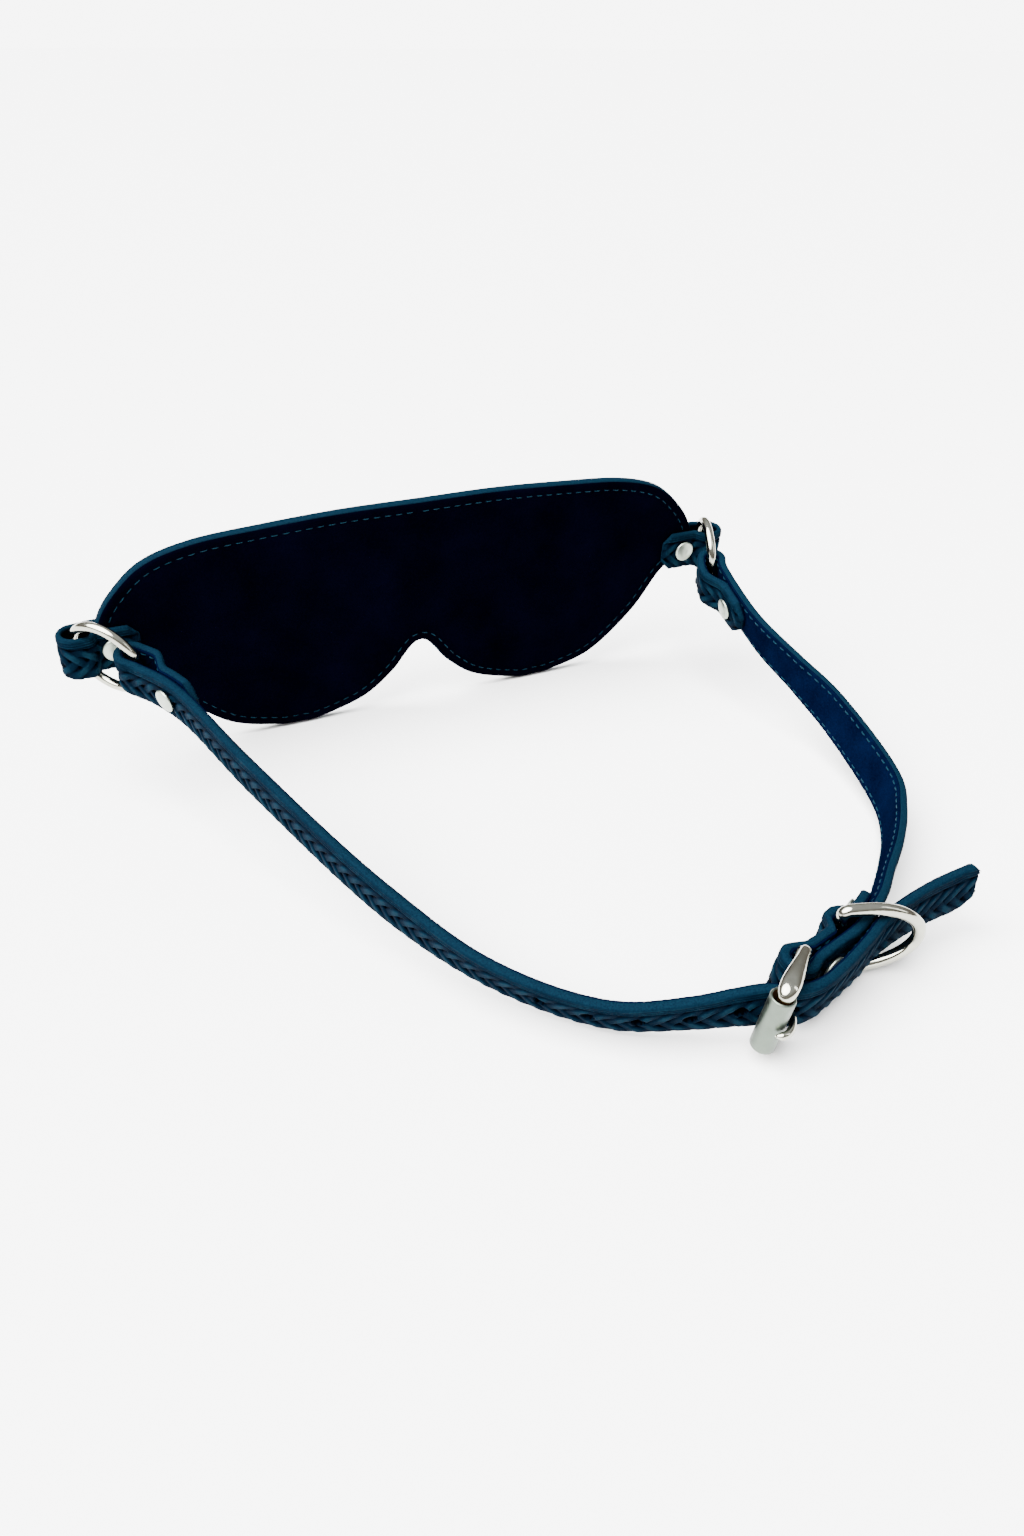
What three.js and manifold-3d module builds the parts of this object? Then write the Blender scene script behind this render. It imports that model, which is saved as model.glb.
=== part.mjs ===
// Blindfold: a padded mask panel with a two-piece leather strap, two O-rings, a roller buckle
// and a D-ring keeper. Millimetres, +Z up, mask ear to ear along X, strap loop lying toward -Y.
import * as THREE from 'three';
import { mergeVertices } from 'three/addons/utils/BufferGeometryUtils.js';
import Module from 'manifold-3d';

const wasm = await Module();
wasm.setup();

// ---- driving dimensions ----
const DEPTH_SHIFT = 97;        // moves the mask foot line back so the origin is under the middle
const GAP = 0.3;               // air between neighbouring pieces
const MASK_LEAN = 7;           // degrees, top of the mask toward the buckle
const LINING = 0.8;            // mask lining thickness
const PADDING = 1.6;
const FRONT = 1.4;             // embossed front leather
const PAD_INSET = 1.4;
const TAB_WIDTH = 13;
const TAB_THICK = 1.8;
const TAB_HEIGHT = 42.5;       // middle of the tabs, along the mask
const TAB_RIVET_X = 98.5;
const STRAP_WIDTH = 13;
const LEATHER = 1.5;           // strap outer leather
const STRAP_LINING = 1.0;
const STRAP = LEATHER + GAP + STRAP_LINING;
const FOLD = 3.55;             // middle radius where a strap folds round a wire
const RING_RADIUS = 11.5;
const WIRE = 1.5;
const BUCKLE_HALF = 8.3;       // half the clear height between the side bars
const SIDE_BAR = 3;
const BAR_SPACING = 16.07;
const ROLLER = 3;
const PRONG = 0.9;
const D_HALF = 9.6;
const D_WIRE = 1.6;
const RIVET_HEAD = 3.5;
const RIVET_STEM = 1.2;
const HOLE = 2.15;             // prong holes in the long strap

const deg = THREE.MathUtils.degToRad;
const v3 = (x, y, z) => new THREE.Vector3(x, y, z);
const teal = new THREE.MeshStandardMaterial({ color: 0x14506a, roughness: 0.7, metalness: 0 });
const suede = new THREE.MeshStandardMaterial({ color: 0x10263c, roughness: 0.95, metalness: 0 });
const velvet = new THREE.MeshStandardMaterial({ color: 0x06080f, roughness: 1, metalness: 0 });
const foam = new THREE.MeshStandardMaterial({ color: 0x30343c, roughness: 1, metalness: 0 });
const nickel = new THREE.MeshStandardMaterial({ color: 0xc9c8bd, roughness: 0.25, metalness: 1 });

const group = new THREE.Group();
group.position.y = DEPTH_SHIFT;

function add(name, geometry, material) {
  const mesh = new THREE.Mesh(geometry, material);
  mesh.name = name;
  group.add(mesh);
}

// ---- solids ----
function toManifold(geometry) {
  const plain = geometry.clone();
  plain.deleteAttribute('normal');
  plain.deleteAttribute('uv');
  const merged = mergeVertices(plain, 1e-4);
  const vertProperties = new Float32Array(merged.attributes.position.array);
  const triVerts = new Uint32Array(merged.index.array);
  return new wasm.Manifold(new wasm.Mesh({ numProp: 3, vertProperties, triVerts }));
}

function fromManifold(solid) {
  const mesh = solid.getMesh();
  const geometry = new THREE.BufferGeometry();
  geometry.setAttribute('position', new THREE.BufferAttribute(mesh.vertProperties, 3));
  geometry.setIndex(new THREE.BufferAttribute(mesh.triVerts, 1));
  geometry.computeVertexNormals();
  return geometry;
}

function cut(geometry, tools) {
  let solid = toManifold(geometry);
  for (const tool of tools) {
    solid = solid.subtract(toManifold(tool));
  }
  return fromManifold(solid);
}

// A drill runs along an axis through a point, far enough to leave the layer on both sides.
function drill(point, axis, radius, length = 14) {
  const tool = new THREE.CylinderGeometry(radius, radius, length, 16);
  tool.applyQuaternion(new THREE.Quaternion().setFromUnitVectors(v3(0, 1, 0), axis));
  tool.translate(point.x, point.y, point.z);
  return tool;
}

// ---- ribbons ----
// A station is { p, w, n }: a point on the middle surface, the width direction and the outer normal.
function frameAt(p, t, outSign, lean) {
  const up = v3(0, 0, 1).addScaledVector(t, -t.z).normalize();
  const side = v3(t.y, -t.x, 0).normalize().multiplyScalar(outSign);
  const nrm = new THREE.Vector3().crossVectors(up, t);
  if (nrm.dot(side) < 0) nrm.negate();
  const w = up.clone().multiplyScalar(Math.cos(lean)).addScaledVector(nrm, Math.sin(lean));
  const n = nrm.clone().multiplyScalar(Math.cos(lean)).addScaledVector(up, -Math.sin(lean));
  return { p, w, n };
}

// Rows hold x, y, z and the lean of the strap in degrees.
function stationsAlong(rows, outSign, step) {
  const curve = new THREE.CatmullRomCurve3(rows.map((r) => v3(r[0], r[1], r[2])), false, 'centripetal');
  const leans = new THREE.SplineCurve(rows.map((r, i) => new THREE.Vector2(i, r[3])));
  const count = Math.ceil(curve.getLength() / step);
  const stations = [];
  for (let i = 0; i <= count; i += 1) {
    const u = curve.getUtoTmapping(i / count);
    const lean = deg(leans.getPoint(u).y);
    stations.push(frameAt(curve.getPoint(u), curve.getTangent(u), outSign, lean));
  }
  return stations;
}

// Distances along the middle line of a list of stations.
function distances(stations) {
  const out = [0];
  for (let i = 1; i < stations.length; i += 1) {
    out.push(out[i - 1] + stations[i].p.distanceTo(stations[i - 1].p));
  }
  return out;
}

function stationAt(stations, distance) {
  const d = distances(stations);
  let i = 1;
  while (i < d.length - 1 && d[i] < distance) i += 1;
  const f = (distance - d[i - 1]) / (d[i] - d[i - 1]);
  return {
    p: stations[i - 1].p.clone().lerp(stations[i].p, f),
    w: stations[i - 1].w.clone().lerp(stations[i].w, f).normalize(),
    n: stations[i - 1].n.clone().lerp(stations[i].n, f).normalize(),
  };
}

// Smooth value from a short list of [distance, value] rows.
function profile(rows, distance) {
  if (distance <= rows[0][0]) return rows[0][1];
  for (let i = 1; i < rows.length; i += 1) {
    if (distance <= rows[i][0]) {
      const f = (distance - rows[i - 1][0]) / (rows[i][0] - rows[i - 1][0]);
      return THREE.MathUtils.lerp(rows[i - 1][1], rows[i][1], THREE.MathUtils.smoothstep(f, 0, 1));
    }
  }
  return rows[rows.length - 1][1];
}

// The strap turns back over its own inner face: a half circle, then a tail at a given separation.
function fold(stations, separation, tailLength) {
  const first = stations[0];
  const away = new THREE.Vector3().subVectors(first.p, stations[1].p).normalize();
  away.addScaledVector(first.n, -away.dot(first.n)).normalize();
  const centre = first.p.clone().addScaledVector(first.n, -FOLD);
  const turned = [];
  for (let i = 9; i >= 1; i -= 1) {
    const a = Math.PI * i / 10;
    const n = first.n.clone().multiplyScalar(Math.cos(a)).addScaledVector(away, Math.sin(a));
    turned.push({ p: centre.clone().addScaledVector(n, FOLD), w: first.w.clone(), n });
  }
  const d = distances(stations);
  const tail = [];
  for (let i = 0; i < stations.length && d[i] <= tailLength; i += 1) {
    const s = stations[i];
    const p = s.p.clone().addScaledVector(s.n, -profile(separation, d[i]));
    tail.push({ p, w: s.w.clone(), n: s.n.clone().negate() });
  }
  tail.reverse();
  return [...tail, ...turned, ...stations];
}

// Closed solid between two offsets from the middle surface; halfWidth(distance, total) shapes ends.
function ribbon(stations, low, high, halfWidth) {
  const d = distances(stations);
  const total = d[d.length - 1];
  const position = [];
  const index = [];
  stations.forEach((s, i) => {
    const half = halfWidth(d[i], total);
    for (const [side, offset] of [[-1, low], [1, low], [1, high], [-1, high]]) {
      const q = s.p.clone().addScaledVector(s.w, side * half).addScaledVector(s.n, offset);
      position.push(q.x, q.y, q.z);
    }
  });
  const last = (stations.length - 1) * 4;
  for (let i = 0; i < stations.length - 1; i += 1) {
    for (let k = 0; k < 4; k += 1) {
      const a = i * 4 + k;
      const b = i * 4 + (k + 1) % 4;
      index.push(a, b, a + 4, b, b + 4, a + 4);
    }
  }
  index.push(0, 2, 1, 0, 3, 2, last, last + 1, last + 2, last, last + 2, last + 3);
  const geometry = new THREE.BufferGeometry();
  geometry.setAttribute('position', new THREE.Float32BufferAttribute(position, 3));
  geometry.setIndex(index);
  if (signedVolume(geometry) < 0) {
    for (let i = 0; i < index.length; i += 3) [index[i], index[i + 1]] = [index[i + 1], index[i]];
    geometry.setIndex(index);
  }
  geometry.computeVertexNormals();
  return geometry;
}

function signedVolume(geometry) {
  const p = geometry.attributes.position;
  const t = geometry.index.array;
  const at = (i) => new THREE.Vector3().fromBufferAttribute(p, i);
  let volume = 0;
  for (let i = 0; i < t.length; i += 3) {
    volume += at(t[i]).dot(at(t[i + 1]).cross(at(t[i + 2])));
  }
  return volume / 6;
}

// Half width with clipped corners at a tail end.
const clipped = (width, clip) => (d) => width / 2 - Math.max(0, clip - d);

// ---- rivets: a headed post on one side and a cap with a socket on the other ----
function addRivet(name, point, axis, outer, inner) {
  const head = 1.1;
  const turn = new THREE.Quaternion().setFromUnitVectors(v3(0, 1, 0), axis);
  const r = RIVET_HEAD;
  const top = outer + GAP;
  const bottom = inner - GAP;
  const post = [[0, bottom - head], [r * 0.6, bottom - head * 0.85], [r, bottom - head * 0.35]];
  post.push([r, bottom], [RIVET_STEM, bottom], [RIVET_STEM, top + 0.5], [0, top + 0.5]);
  const cap = [[0, top + 0.5 + GAP], [RIVET_STEM + GAP, top + 0.5 + GAP], [RIVET_STEM + GAP, top]];
  cap.push([r, top], [r, top + head * 0.5], [r * 0.6, top + head * 1.05], [0, top + head * 1.25]);
  for (const [suffix, outline] of [['post', post], ['cap', cap]]) {
    const geometry = new THREE.LatheGeometry(outline.map((q) => new THREE.Vector2(q[0], q[1])), 20);
    geometry.applyQuaternion(turn);
    geometry.translate(point.x, point.y, point.z);
    add(`${name}_${suffix}`, geometry, nickel);
  }
}

// ---- mask panel ----
const mask = new THREE.Matrix4().makeRotationX(deg(MASK_LEAN));
const earOutline = [
  [0, 74.3], [26, 74.3], [51, 73.1], [72, 71.3], [87, 66.8], [97, 58], [102, 50], [103, 43.5],
  [100, 39], [92.3, 34.6], [82, 19.7], [66.6, 5.9], [51, 0.9], [43.5, 0.3], [35.9, 0.6], [20.5, 5.4],
  [10.3, 13.2], [5.2, 19.6], [2.9, 22.3], [1.2, 23.4], [0, 23.6],
];

function panelShape(inset) {
  const right = new THREE.SplineCurve(earOutline.map((q) => new THREE.Vector2(q[0], q[1])));
  const half = right.getPoints(4 * (earOutline.length - 1));
  const all = [...half, ...half.slice(1, -1).reverse().map((q) => new THREE.Vector2(-q.x, q.y))];
  if (inset === 0) return new THREE.Shape(all);
  const moved = all.map((q, i) => {
    const a = all[(i + all.length - 1) % all.length];
    const b = all[(i + 1) % all.length];
    const t = new THREE.Vector2().subVectors(b, a).normalize();
    return new THREE.Vector2(q.x + t.y * inset, q.y - t.x * inset);
  });
  return new THREE.Shape(moved);
}

// The panel outline is drawn in x and height; depth grows away from the face.
function panelLayer(inset, start, thickness) {
  const geometry = new THREE.ExtrudeGeometry(panelShape(inset), {
    depth: thickness, bevelEnabled: false, steps: 1,
  });
  geometry.rotateX(Math.PI / 2);
  geometry.translate(0, start + thickness, 0);
  geometry.applyMatrix4(mask);
  return geometry;
}

const onMask = (x, y, z) => v3(x, y, z).applyMatrix4(mask);
const faceNormal = v3(0, -1, 0).transformDirection(mask);
const stackEnd = LINING + GAP + PADDING + GAP + FRONT;
const tabHoles = [1, -1].map((s) => drill(onMask(s * TAB_RIVET_X, 2, TAB_HEIGHT), faceNormal, 1.5));
add('mask_lining', cut(panelLayer(0, 0, LINING), tabHoles), velvet);
add('mask_padding', cut(panelLayer(PAD_INSET, LINING + GAP, PADDING), tabHoles), foam);
add('mask_front_leather', cut(panelLayer(0, stackEnd - FRONT, FRONT), tabHoles), teal);

// ---- tabs: one strip round each end of the mask, holding a ring in its nose ----
const TAB_NOSE_X = 108.6;
const TAB_NOSE_Y = 0.3;
const TAB_NOSE_R = 3.7 + TAB_THICK / 2;

function tabStations(side) {
  const face = -GAP - TAB_THICK / 2;
  const front = stackEnd + GAP + TAB_THICK / 2;
  const path = new THREE.CurvePath();
  const a = v3(90.5, face, 0);
  const b = v3(102.5, face, 0);
  const c = v3(TAB_NOSE_X, TAB_NOSE_Y - TAB_NOSE_R, 0);
  const d = v3(TAB_NOSE_X, TAB_NOSE_Y + TAB_NOSE_R, 0);
  const e = v3(103.4, front, 0);
  const f = v3(92, front, 0);
  const points = [];
  for (let i = 0; i < 6; i += 1) points.push(a.clone().lerp(b, i / 6));
  const c0 = v3(105.8, c.y, 0);
  const inward = new THREE.CubicBezierCurve3(b, v3(104, face, 0), v3(104, c.y, 0), c0);
  points.push(...inward.getPoints(6));
  for (let i = 0; i < 10; i += 1) {
    const t = -Math.PI / 2 + Math.PI * i / 10;
    const cx = TAB_NOSE_X + TAB_NOSE_R * Math.cos(t);
    points.push(v3(cx, TAB_NOSE_Y + TAB_NOSE_R * Math.sin(t), 0));
  }
  const outward = new THREE.CubicBezierCurve3(d, v3(106.4, d.y, 0), v3(105.4, front, 0), e);
  points.push(...outward.getPoints(5).slice(0, -1));
  for (let i = 0; i <= 5; i += 1) points.push(e.clone().lerp(f, i / 5));
  path.points = points;
  const w = v3(0, 0, 1).transformDirection(mask);
  return points.map((p, i) => {
    const t = new THREE.Vector3().subVectors(
      points[Math.min(i + 1, points.length - 1)], points[Math.max(i - 1, 0)]).normalize();
    const n = v3(t.y * side, -t.x, 0).transformDirection(mask);
    return { p: onMask(p.x * side, p.y, TAB_HEIGHT), w: w.clone(), n };
  });
}

for (const [name, side] of [['left', -1], ['right', 1]]) {
  const strip = ribbon(tabStations(side), -TAB_THICK / 2, TAB_THICK / 2, (d, total) => (
    TAB_WIDTH / 2 - Math.max(0, 3.2 - d) - Math.max(0, 3.2 - (total - d))));
  const centre = onMask(side * TAB_RIVET_X, 0, TAB_HEIGHT);
  add(`${name}_tab`, cut(strip, [drill(centre, faceNormal, 1.5, 24)]), teal);
  addRivet(`${name}_tab_rivet`, centre, faceNormal, GAP + TAB_THICK, -stackEnd - GAP - TAB_THICK);
}

// ---- O-rings: plane heading and tilt in degrees ----
const rings = {
  left: { centre: v3(-101.2, -12.4, 42), heading: -49.5, tilt: -17, drop: 11.4, lean: 1 },
  right: { centre: v3(103.6, -13.8, 42.2), heading: -111.5, tilt: -5, drop: 20, lean: -1 },
};

// Ring plane directions, and where a strap pulled down by `drop` degrees sits on the wire.
function ringFrame(ring) {
  const d = v3(Math.cos(deg(ring.heading)), Math.sin(deg(ring.heading)), 0);
  const level = v3(-d.y, d.x, 0);
  const up = v3(0, 0, 1).multiplyScalar(Math.cos(deg(ring.tilt)));
  up.addScaledVector(level, Math.sin(deg(ring.tilt)));
  const pull = d.clone().multiplyScalar(Math.cos(deg(ring.drop)));
  pull.addScaledVector(up, -Math.sin(deg(ring.drop)));
  const normal = new THREE.Vector3().crossVectors(d, up).multiplyScalar(ring.lean);
  return { d, up, pull, normal };
}

for (const [name, ring] of Object.entries(rings)) {
  const { d, up, normal } = ringFrame(ring);
  const torus = new THREE.TorusGeometry(RING_RADIUS, WIRE, 12, 36);
  const z = new THREE.Vector3().crossVectors(d, up);
  torus.applyMatrix4(new THREE.Matrix4().makeBasis(d, up, z));
  torus.translate(ring.centre.x, ring.centre.y, ring.centre.z);
  add(`${name}_ring`, cut(torus, []), nickel);
  ring.normal = normal;
}

// First rows of a strap: it starts straight in the ring's plane, its nose short of the wire.
function strapStart(ring) {
  const { pull, normal } = ringFrame(ring);
  const wire = ring.centre.clone().addScaledVector(pull, RING_RADIUS);
  const start = wire.clone().addScaledVector(pull, -2.3).addScaledVector(normal, FOLD);
  return [start, start.clone().addScaledVector(pull, 6)];
}

// ---- long strap: ring fold, side run, buckle and free end ----
const [leftA, leftB] = strapStart(rings.left);
const longRows = [
  [leftA.x, leftA.y, leftA.z, 17.4], [leftB.x, leftB.y, leftB.z, 16],
  [-86.6, -38.6, 36.7, 11], [-75.2, -72, 28.2, 10], [-54.9, -124.6, 15.5, 12],
  [-39.1, -153.1, 9.8, 24], [-20, -173.7, 8, 26.5], [-4.2, -182.2, 9.7, 21],
  [5.5, -186.1, 11.2, 14], [11, -188.3, 11.8, 10.5], [16, -191.3, 12, 12], [22, -191.8, 12, 12],
  [30, -189.2, 12, 12], [41, -184.6, 12.3, 9], [49.3, -180.45, 12.4, 7], [60, -177, 12.4, 6],
  [72, -174.6, 12.4, 4], [86.3, -173.4, 12.5, 2],
];
const shortA = strapStart(rings.right);
const shortRows = [
  [shortA[0].x, shortA[0].y, shortA[0].z, -5], [shortA[1].x, shortA[1].y, shortA[1].z, -8],
  [100.9, -45, 31.4, -13], [101, -56, 27.6, -11], [103, -73, 22.2, -5], [104.4, -90, 17, 9],
  [97.8, -126, 9.9, 19], [89, -139.8, 9.3, 14], [78.6, -151, 9.6, 14], [66, -162.3, 10.4, 12],
  [57, -170.4, 11.2, 11], [50, -175.4, 11.8, 10], [44.7, -178.5, 12, 9], [40.6, -180.4, 12, 9],
  [33, -182.7, 12, 10], [27.4, -184.4, 12, 11], [23.8, -186.55, 12, 11],
];
// The free end: its top corner is clipped and its lower corner rounded away.
const tipTop = (left) => STRAP_WIDTH / 2 - Math.max(0, 2.5 - left);
const tipLow = (left) => STRAP_WIDTH / 2 * Math.sqrt(1 - (Math.max(0, 9 - left) / 9.4) ** 2);

function tipWidth(d, total) {
  return Math.min((tipTop(total - d) + tipLow(total - d)) / 2, clipped(STRAP_WIDTH, 4)(d));
}

const longRun = stationsAlong(longRows, 1, 2.6);
const longTotal = distances(longRun).pop();
distances(longRun).forEach((d, i) => {
  const left = longTotal - d;
  longRun[i].p.addScaledVector(longRun[i].w, (tipTop(left) - tipLow(left)) / 2);
});
const shortRun = stationsAlong(shortRows, -1, 2.4);

const ringTail = [[5.4, 2 * FOLD], [13.5, STRAP + GAP + 0.05], [40, STRAP + GAP + 0.05]];
const buckleTail = [
  [0.8, 2 * FOLD], [5.8, 3.6], [13.2, 3.6], [16.8, 7.1], [20, 7.1], [25.8, 3.6], [60, 3.6],
];
const RING_TAIL = 26;
const BUCKLE_TAIL = 37;

const longStrap = fold(longRun, ringTail, RING_TAIL);
const shortReversed = [...shortRun].reverse();
const shortStrap = fold(fold(shortReversed, buckleTail, BUCKLE_TAIL).reverse(), ringTail, RING_TAIL);

const shortWidth = (d, total) => (
  STRAP_WIDTH / 2 - Math.max(0, 4 - d) - Math.max(0, 4 - (total - d)));

// Rivet stations are measured along the middle line from each fold.
const longRivet = stationAt(longRun, 17.4);
const shortRivet = stationAt(shortRun, 17.4);
const buckleRivet = stationAt(shortReversed, 9.4);
const keeperRivet = stationAt(shortReversed, 30.6);
const middle = -STRAP / 2;
const rivets = [
  ['left_strap_rivet', longRivet, ringTail[1][1]], ['right_strap_rivet', shortRivet, ringTail[1][1]],
  ['buckle_rivet', buckleRivet, 3.6], ['keeper_rivet', keeperRivet, 3.6],
];
for (const [name, s, separation] of rivets) {
  addRivet(name, s.p, s.n, STRAP / 2 + 0.15, middle - separation - 0.2);
}
const drillAt = (s, radius) => drill(s.p.clone().addScaledVector(s.n, -1.6), s.n, radius, 12);

const eye = WIRE + 0.35 + PRONG;

// ---- buckle frame axes: a from back bar to roller, o outward, c along the bars ----
const buckleOrigin = v3(22, -183.5, 12);
const along = v3(-0.778, -0.628, 0).normalize();
const flat = v3(-along.y, along.x, 0);
const tilted = deg(11);
const bars = v3(0, 0, Math.cos(tilted)).addScaledVector(flat, Math.sin(tilted));
const outward = flat.clone().multiplyScalar(Math.cos(tilted)).addScaledVector(v3(0, 0, 1), -Math.sin(tilted));
const buckle = new THREE.Matrix4().makeBasis(along, outward, bars).setPosition(buckleOrigin);

// Prong hole spacing along the strap, counted from the hole the prong is in.
const longDistances = distances(longRun);
const inBuckle = longRun.map((s) => s.p.clone().applyMatrix4(buckle.clone().invert()));
const crossing = inBuckle.findIndex((q) => q.x > 4 && q.x < 13 && q.y > 2.1);
const q0 = inBuckle[crossing - 1];
const q1 = inBuckle[crossing];
const prongAt = THREE.MathUtils.lerp(
  longDistances[crossing - 1], longDistances[crossing], (2.1 - q0.y) / (q1.y - q0.y));
const holes = [-57, -45.6, -34.2, -22.8, -11.4, 0].map((k) => stationAt(longRun, prongAt + k));
const slot = new THREE.BoxGeometry(12, 16, 3);
slot.applyMatrix4(buckle);

const longCuts = [drillAt(longRivet, 1.5), ...holes.map((s) => drill(s.p, s.n, HOLE, 8))];
const shortCuts = [shortRivet, buckleRivet, keeperRivet].map((s) => drillAt(s, 1.5));
shortCuts.push(slot);
const leatherLow = STRAP / 2 - LEATHER;
const liningHigh = -STRAP / 2 + STRAP_LINING;
for (const [name, run, width, cuts] of [
  ['left', longStrap, tipWidth, longCuts], ['right', shortStrap, shortWidth, shortCuts],
]) {
  add(`${name}_strap_outer`, cut(ribbon(run, leatherLow, STRAP / 2, width), cuts), teal);
  add(`${name}_strap_lining`, cut(ribbon(run, -STRAP / 2, liningHigh, width), cuts), suede);
}

// ---- buckle frame: two tapered side bars joined by the back bar and the roller pin ----
function sideBar(sign) {
  const shape = new THREE.Shape();
  shape.moveTo(0, -1.6);
  shape.quadraticCurveTo(9, -2.4, 16, -2.2);
  shape.absarc(16.07, 0, 2.2, -Math.PI / 2, Math.PI / 2, false);
  shape.quadraticCurveTo(9, 3.4, 0, 1.6);
  shape.absarc(0, 0, 1.6, Math.PI / 2, Math.PI * 1.5, false);
  const geometry = new THREE.ExtrudeGeometry(shape, {
    depth: SIDE_BAR - 1.2, bevelEnabled: true, bevelThickness: 0.6, bevelSize: 0.4, bevelOffset: -0.4,
    bevelSegments: 2, curveSegments: 10,
  });
  geometry.translate(0, 0, BUCKLE_HALF + 0.6);
  if (sign < 0) geometry.rotateX(Math.PI);
  return toManifold(geometry);
}

function bar(a, radius) {
  const geometry = new THREE.CylinderGeometry(radius, radius, 2 * BUCKLE_HALF + 2, 20);
  geometry.rotateX(Math.PI / 2);
  geometry.translate(a, 0, 0);
  return toManifold(geometry);
}

const frameSolid = sideBar(1).add(sideBar(-1)).add(bar(0, WIRE)).add(bar(BAR_SPACING, 1.3));
add('buckle_frame', fromManifold(frameSolid).applyMatrix4(buckle), nickel);

const rollerOutline = [[1.7, -8], [ROLLER, -8], [ROLLER, 8], [1.7, 8], [1.7, -8]];
const roller = new THREE.LatheGeometry(rollerOutline.map((q) => new THREE.Vector2(q[0], q[1])), 28);
roller.rotateX(Math.PI / 2);
roller.translate(BAR_SPACING, 0, 0);
roller.applyMatrix4(buckle);
add('buckle_roller', roller, nickel);

// ---- prong: an eye round the back bar and a shank through the strap onto the roller ----
const prongPoints = [];
for (let i = 0; i <= 10; i += 1) {
  const a = deg(150 + i * 21);
  prongPoints.push(v3(eye * Math.sin(a), eye * Math.cos(a), 0));
}
prongPoints.push(v3(2.4, eye - 0.1, 0), v3(6.6, 2, 0), v3(9.4, 2.15, 0), v3(13.2, 3.8, 0));
prongPoints.push(v3(16.2, 4.3, 0), v3(18.6, 3.6, 0), v3(20, 1.9, 0));
const prongCurve = new THREE.CatmullRomCurve3(prongPoints, false, 'centripetal');
const prongSection = new THREE.Shape();
prongSection.absarc(0, 0, PRONG, 0, Math.PI * 2, false);
const prong = new THREE.ExtrudeGeometry(prongSection, {
  steps: 44, extrudePath: prongCurve, bevelEnabled: false, curveSegments: 6,
});
prong.applyMatrix4(buckle);
add('buckle_prong', prong, nickel);

// ---- keeper D-ring: straight bar between the strap and its folded tail ----
class DLoop extends THREE.Curve {
  getPoint(t, target = new THREE.Vector3()) {
    const q = dPath.getPointAt(t);
    return target.set(q.x, q.y, 0);
  }
}
const D_DEPTH = 20.8;
const D_ARM = 5.6;
const dPath = new THREE.CurvePath();
const corner = 2.2;
const p2 = (x, y) => new THREE.Vector2(x, y);
dPath.add(new THREE.LineCurve(p2(0, 0), p2(0, D_HALF - corner)));
dPath.add(new THREE.QuadraticBezierCurve(p2(0, D_HALF - corner), p2(0, D_HALF), p2(corner, D_HALF)));
dPath.add(new THREE.LineCurve(p2(corner, D_HALF), p2(D_ARM, D_HALF)));
dPath.add(new THREE.EllipseCurve(D_ARM, 0, D_DEPTH - D_ARM, D_HALF, Math.PI / 2, -Math.PI / 2, true));
dPath.add(new THREE.LineCurve(p2(D_ARM, -D_HALF), p2(corner, -D_HALF)));
dPath.add(new THREE.QuadraticBezierCurve(p2(corner, -D_HALF), p2(0, -D_HALF), p2(0, corner - D_HALF)));
dPath.add(new THREE.LineCurve(p2(0, corner - D_HALF), p2(0, 0)));

function closedTube(curve, radius, steps, sides) {
  const position = [];
  const index = [];
  for (let i = 0; i < steps; i += 1) {
    const p = curve.getPoint(i / steps);
    const ahead = curve.getPoint(((i + 0.5) / steps) % 1);
    const behind = curve.getPoint((i - 0.5 + steps) / steps % 1);
    const t = new THREE.Vector3().subVectors(ahead, behind).normalize();
    const side = v3(-t.y, t.x, 0);
    for (let k = 0; k < sides; k += 1) {
      const a = 2 * Math.PI * k / sides;
      const q = p.clone().addScaledVector(side, radius * Math.cos(a));
      position.push(q.x, q.y, radius * Math.sin(a));
      const i2 = ((i + 1) % steps) * sides;
      const k2 = (k + 1) % sides;
      index.push(i * sides + k, i2 + k, i * sides + k2, i * sides + k2, i2 + k, i2 + k2);
    }
  }
  const geometry = new THREE.BufferGeometry();
  geometry.setAttribute('position', new THREE.Float32BufferAttribute(position, 3));
  geometry.setIndex(index);
  if (signedVolume(geometry) < 0) {
    for (let i = 0; i < index.length; i += 3) [index[i], index[i + 1]] = [index[i + 1], index[i]];
    geometry.setIndex(index);
  }
  geometry.computeVertexNormals();
  return geometry;
}

const dHeading = deg(-17.5);
const dAlong = v3(Math.cos(dHeading), Math.sin(dHeading), 0);
const dLevel = v3(-dAlong.y, dAlong.x, 0);
const dUp = v3(0, 0, Math.cos(deg(-6))).addScaledVector(dLevel, Math.sin(deg(-6)));
const dCross = new THREE.Vector3().crossVectors(dAlong, dUp);
const keeper = closedTube(new DLoop(), D_WIRE, 52, 10);
keeper.applyMatrix4(new THREE.Matrix4().makeBasis(dAlong, dUp, dCross).setPosition(39.4, -177.1, 12.3));
add('keeper_ring', keeper, nickel);

export default group;
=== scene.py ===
import math
import random

import bpy
import numpy as np
from mathutils import Matrix, Vector
from mathutils.geometry import delaunay_2d_cdt


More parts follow.
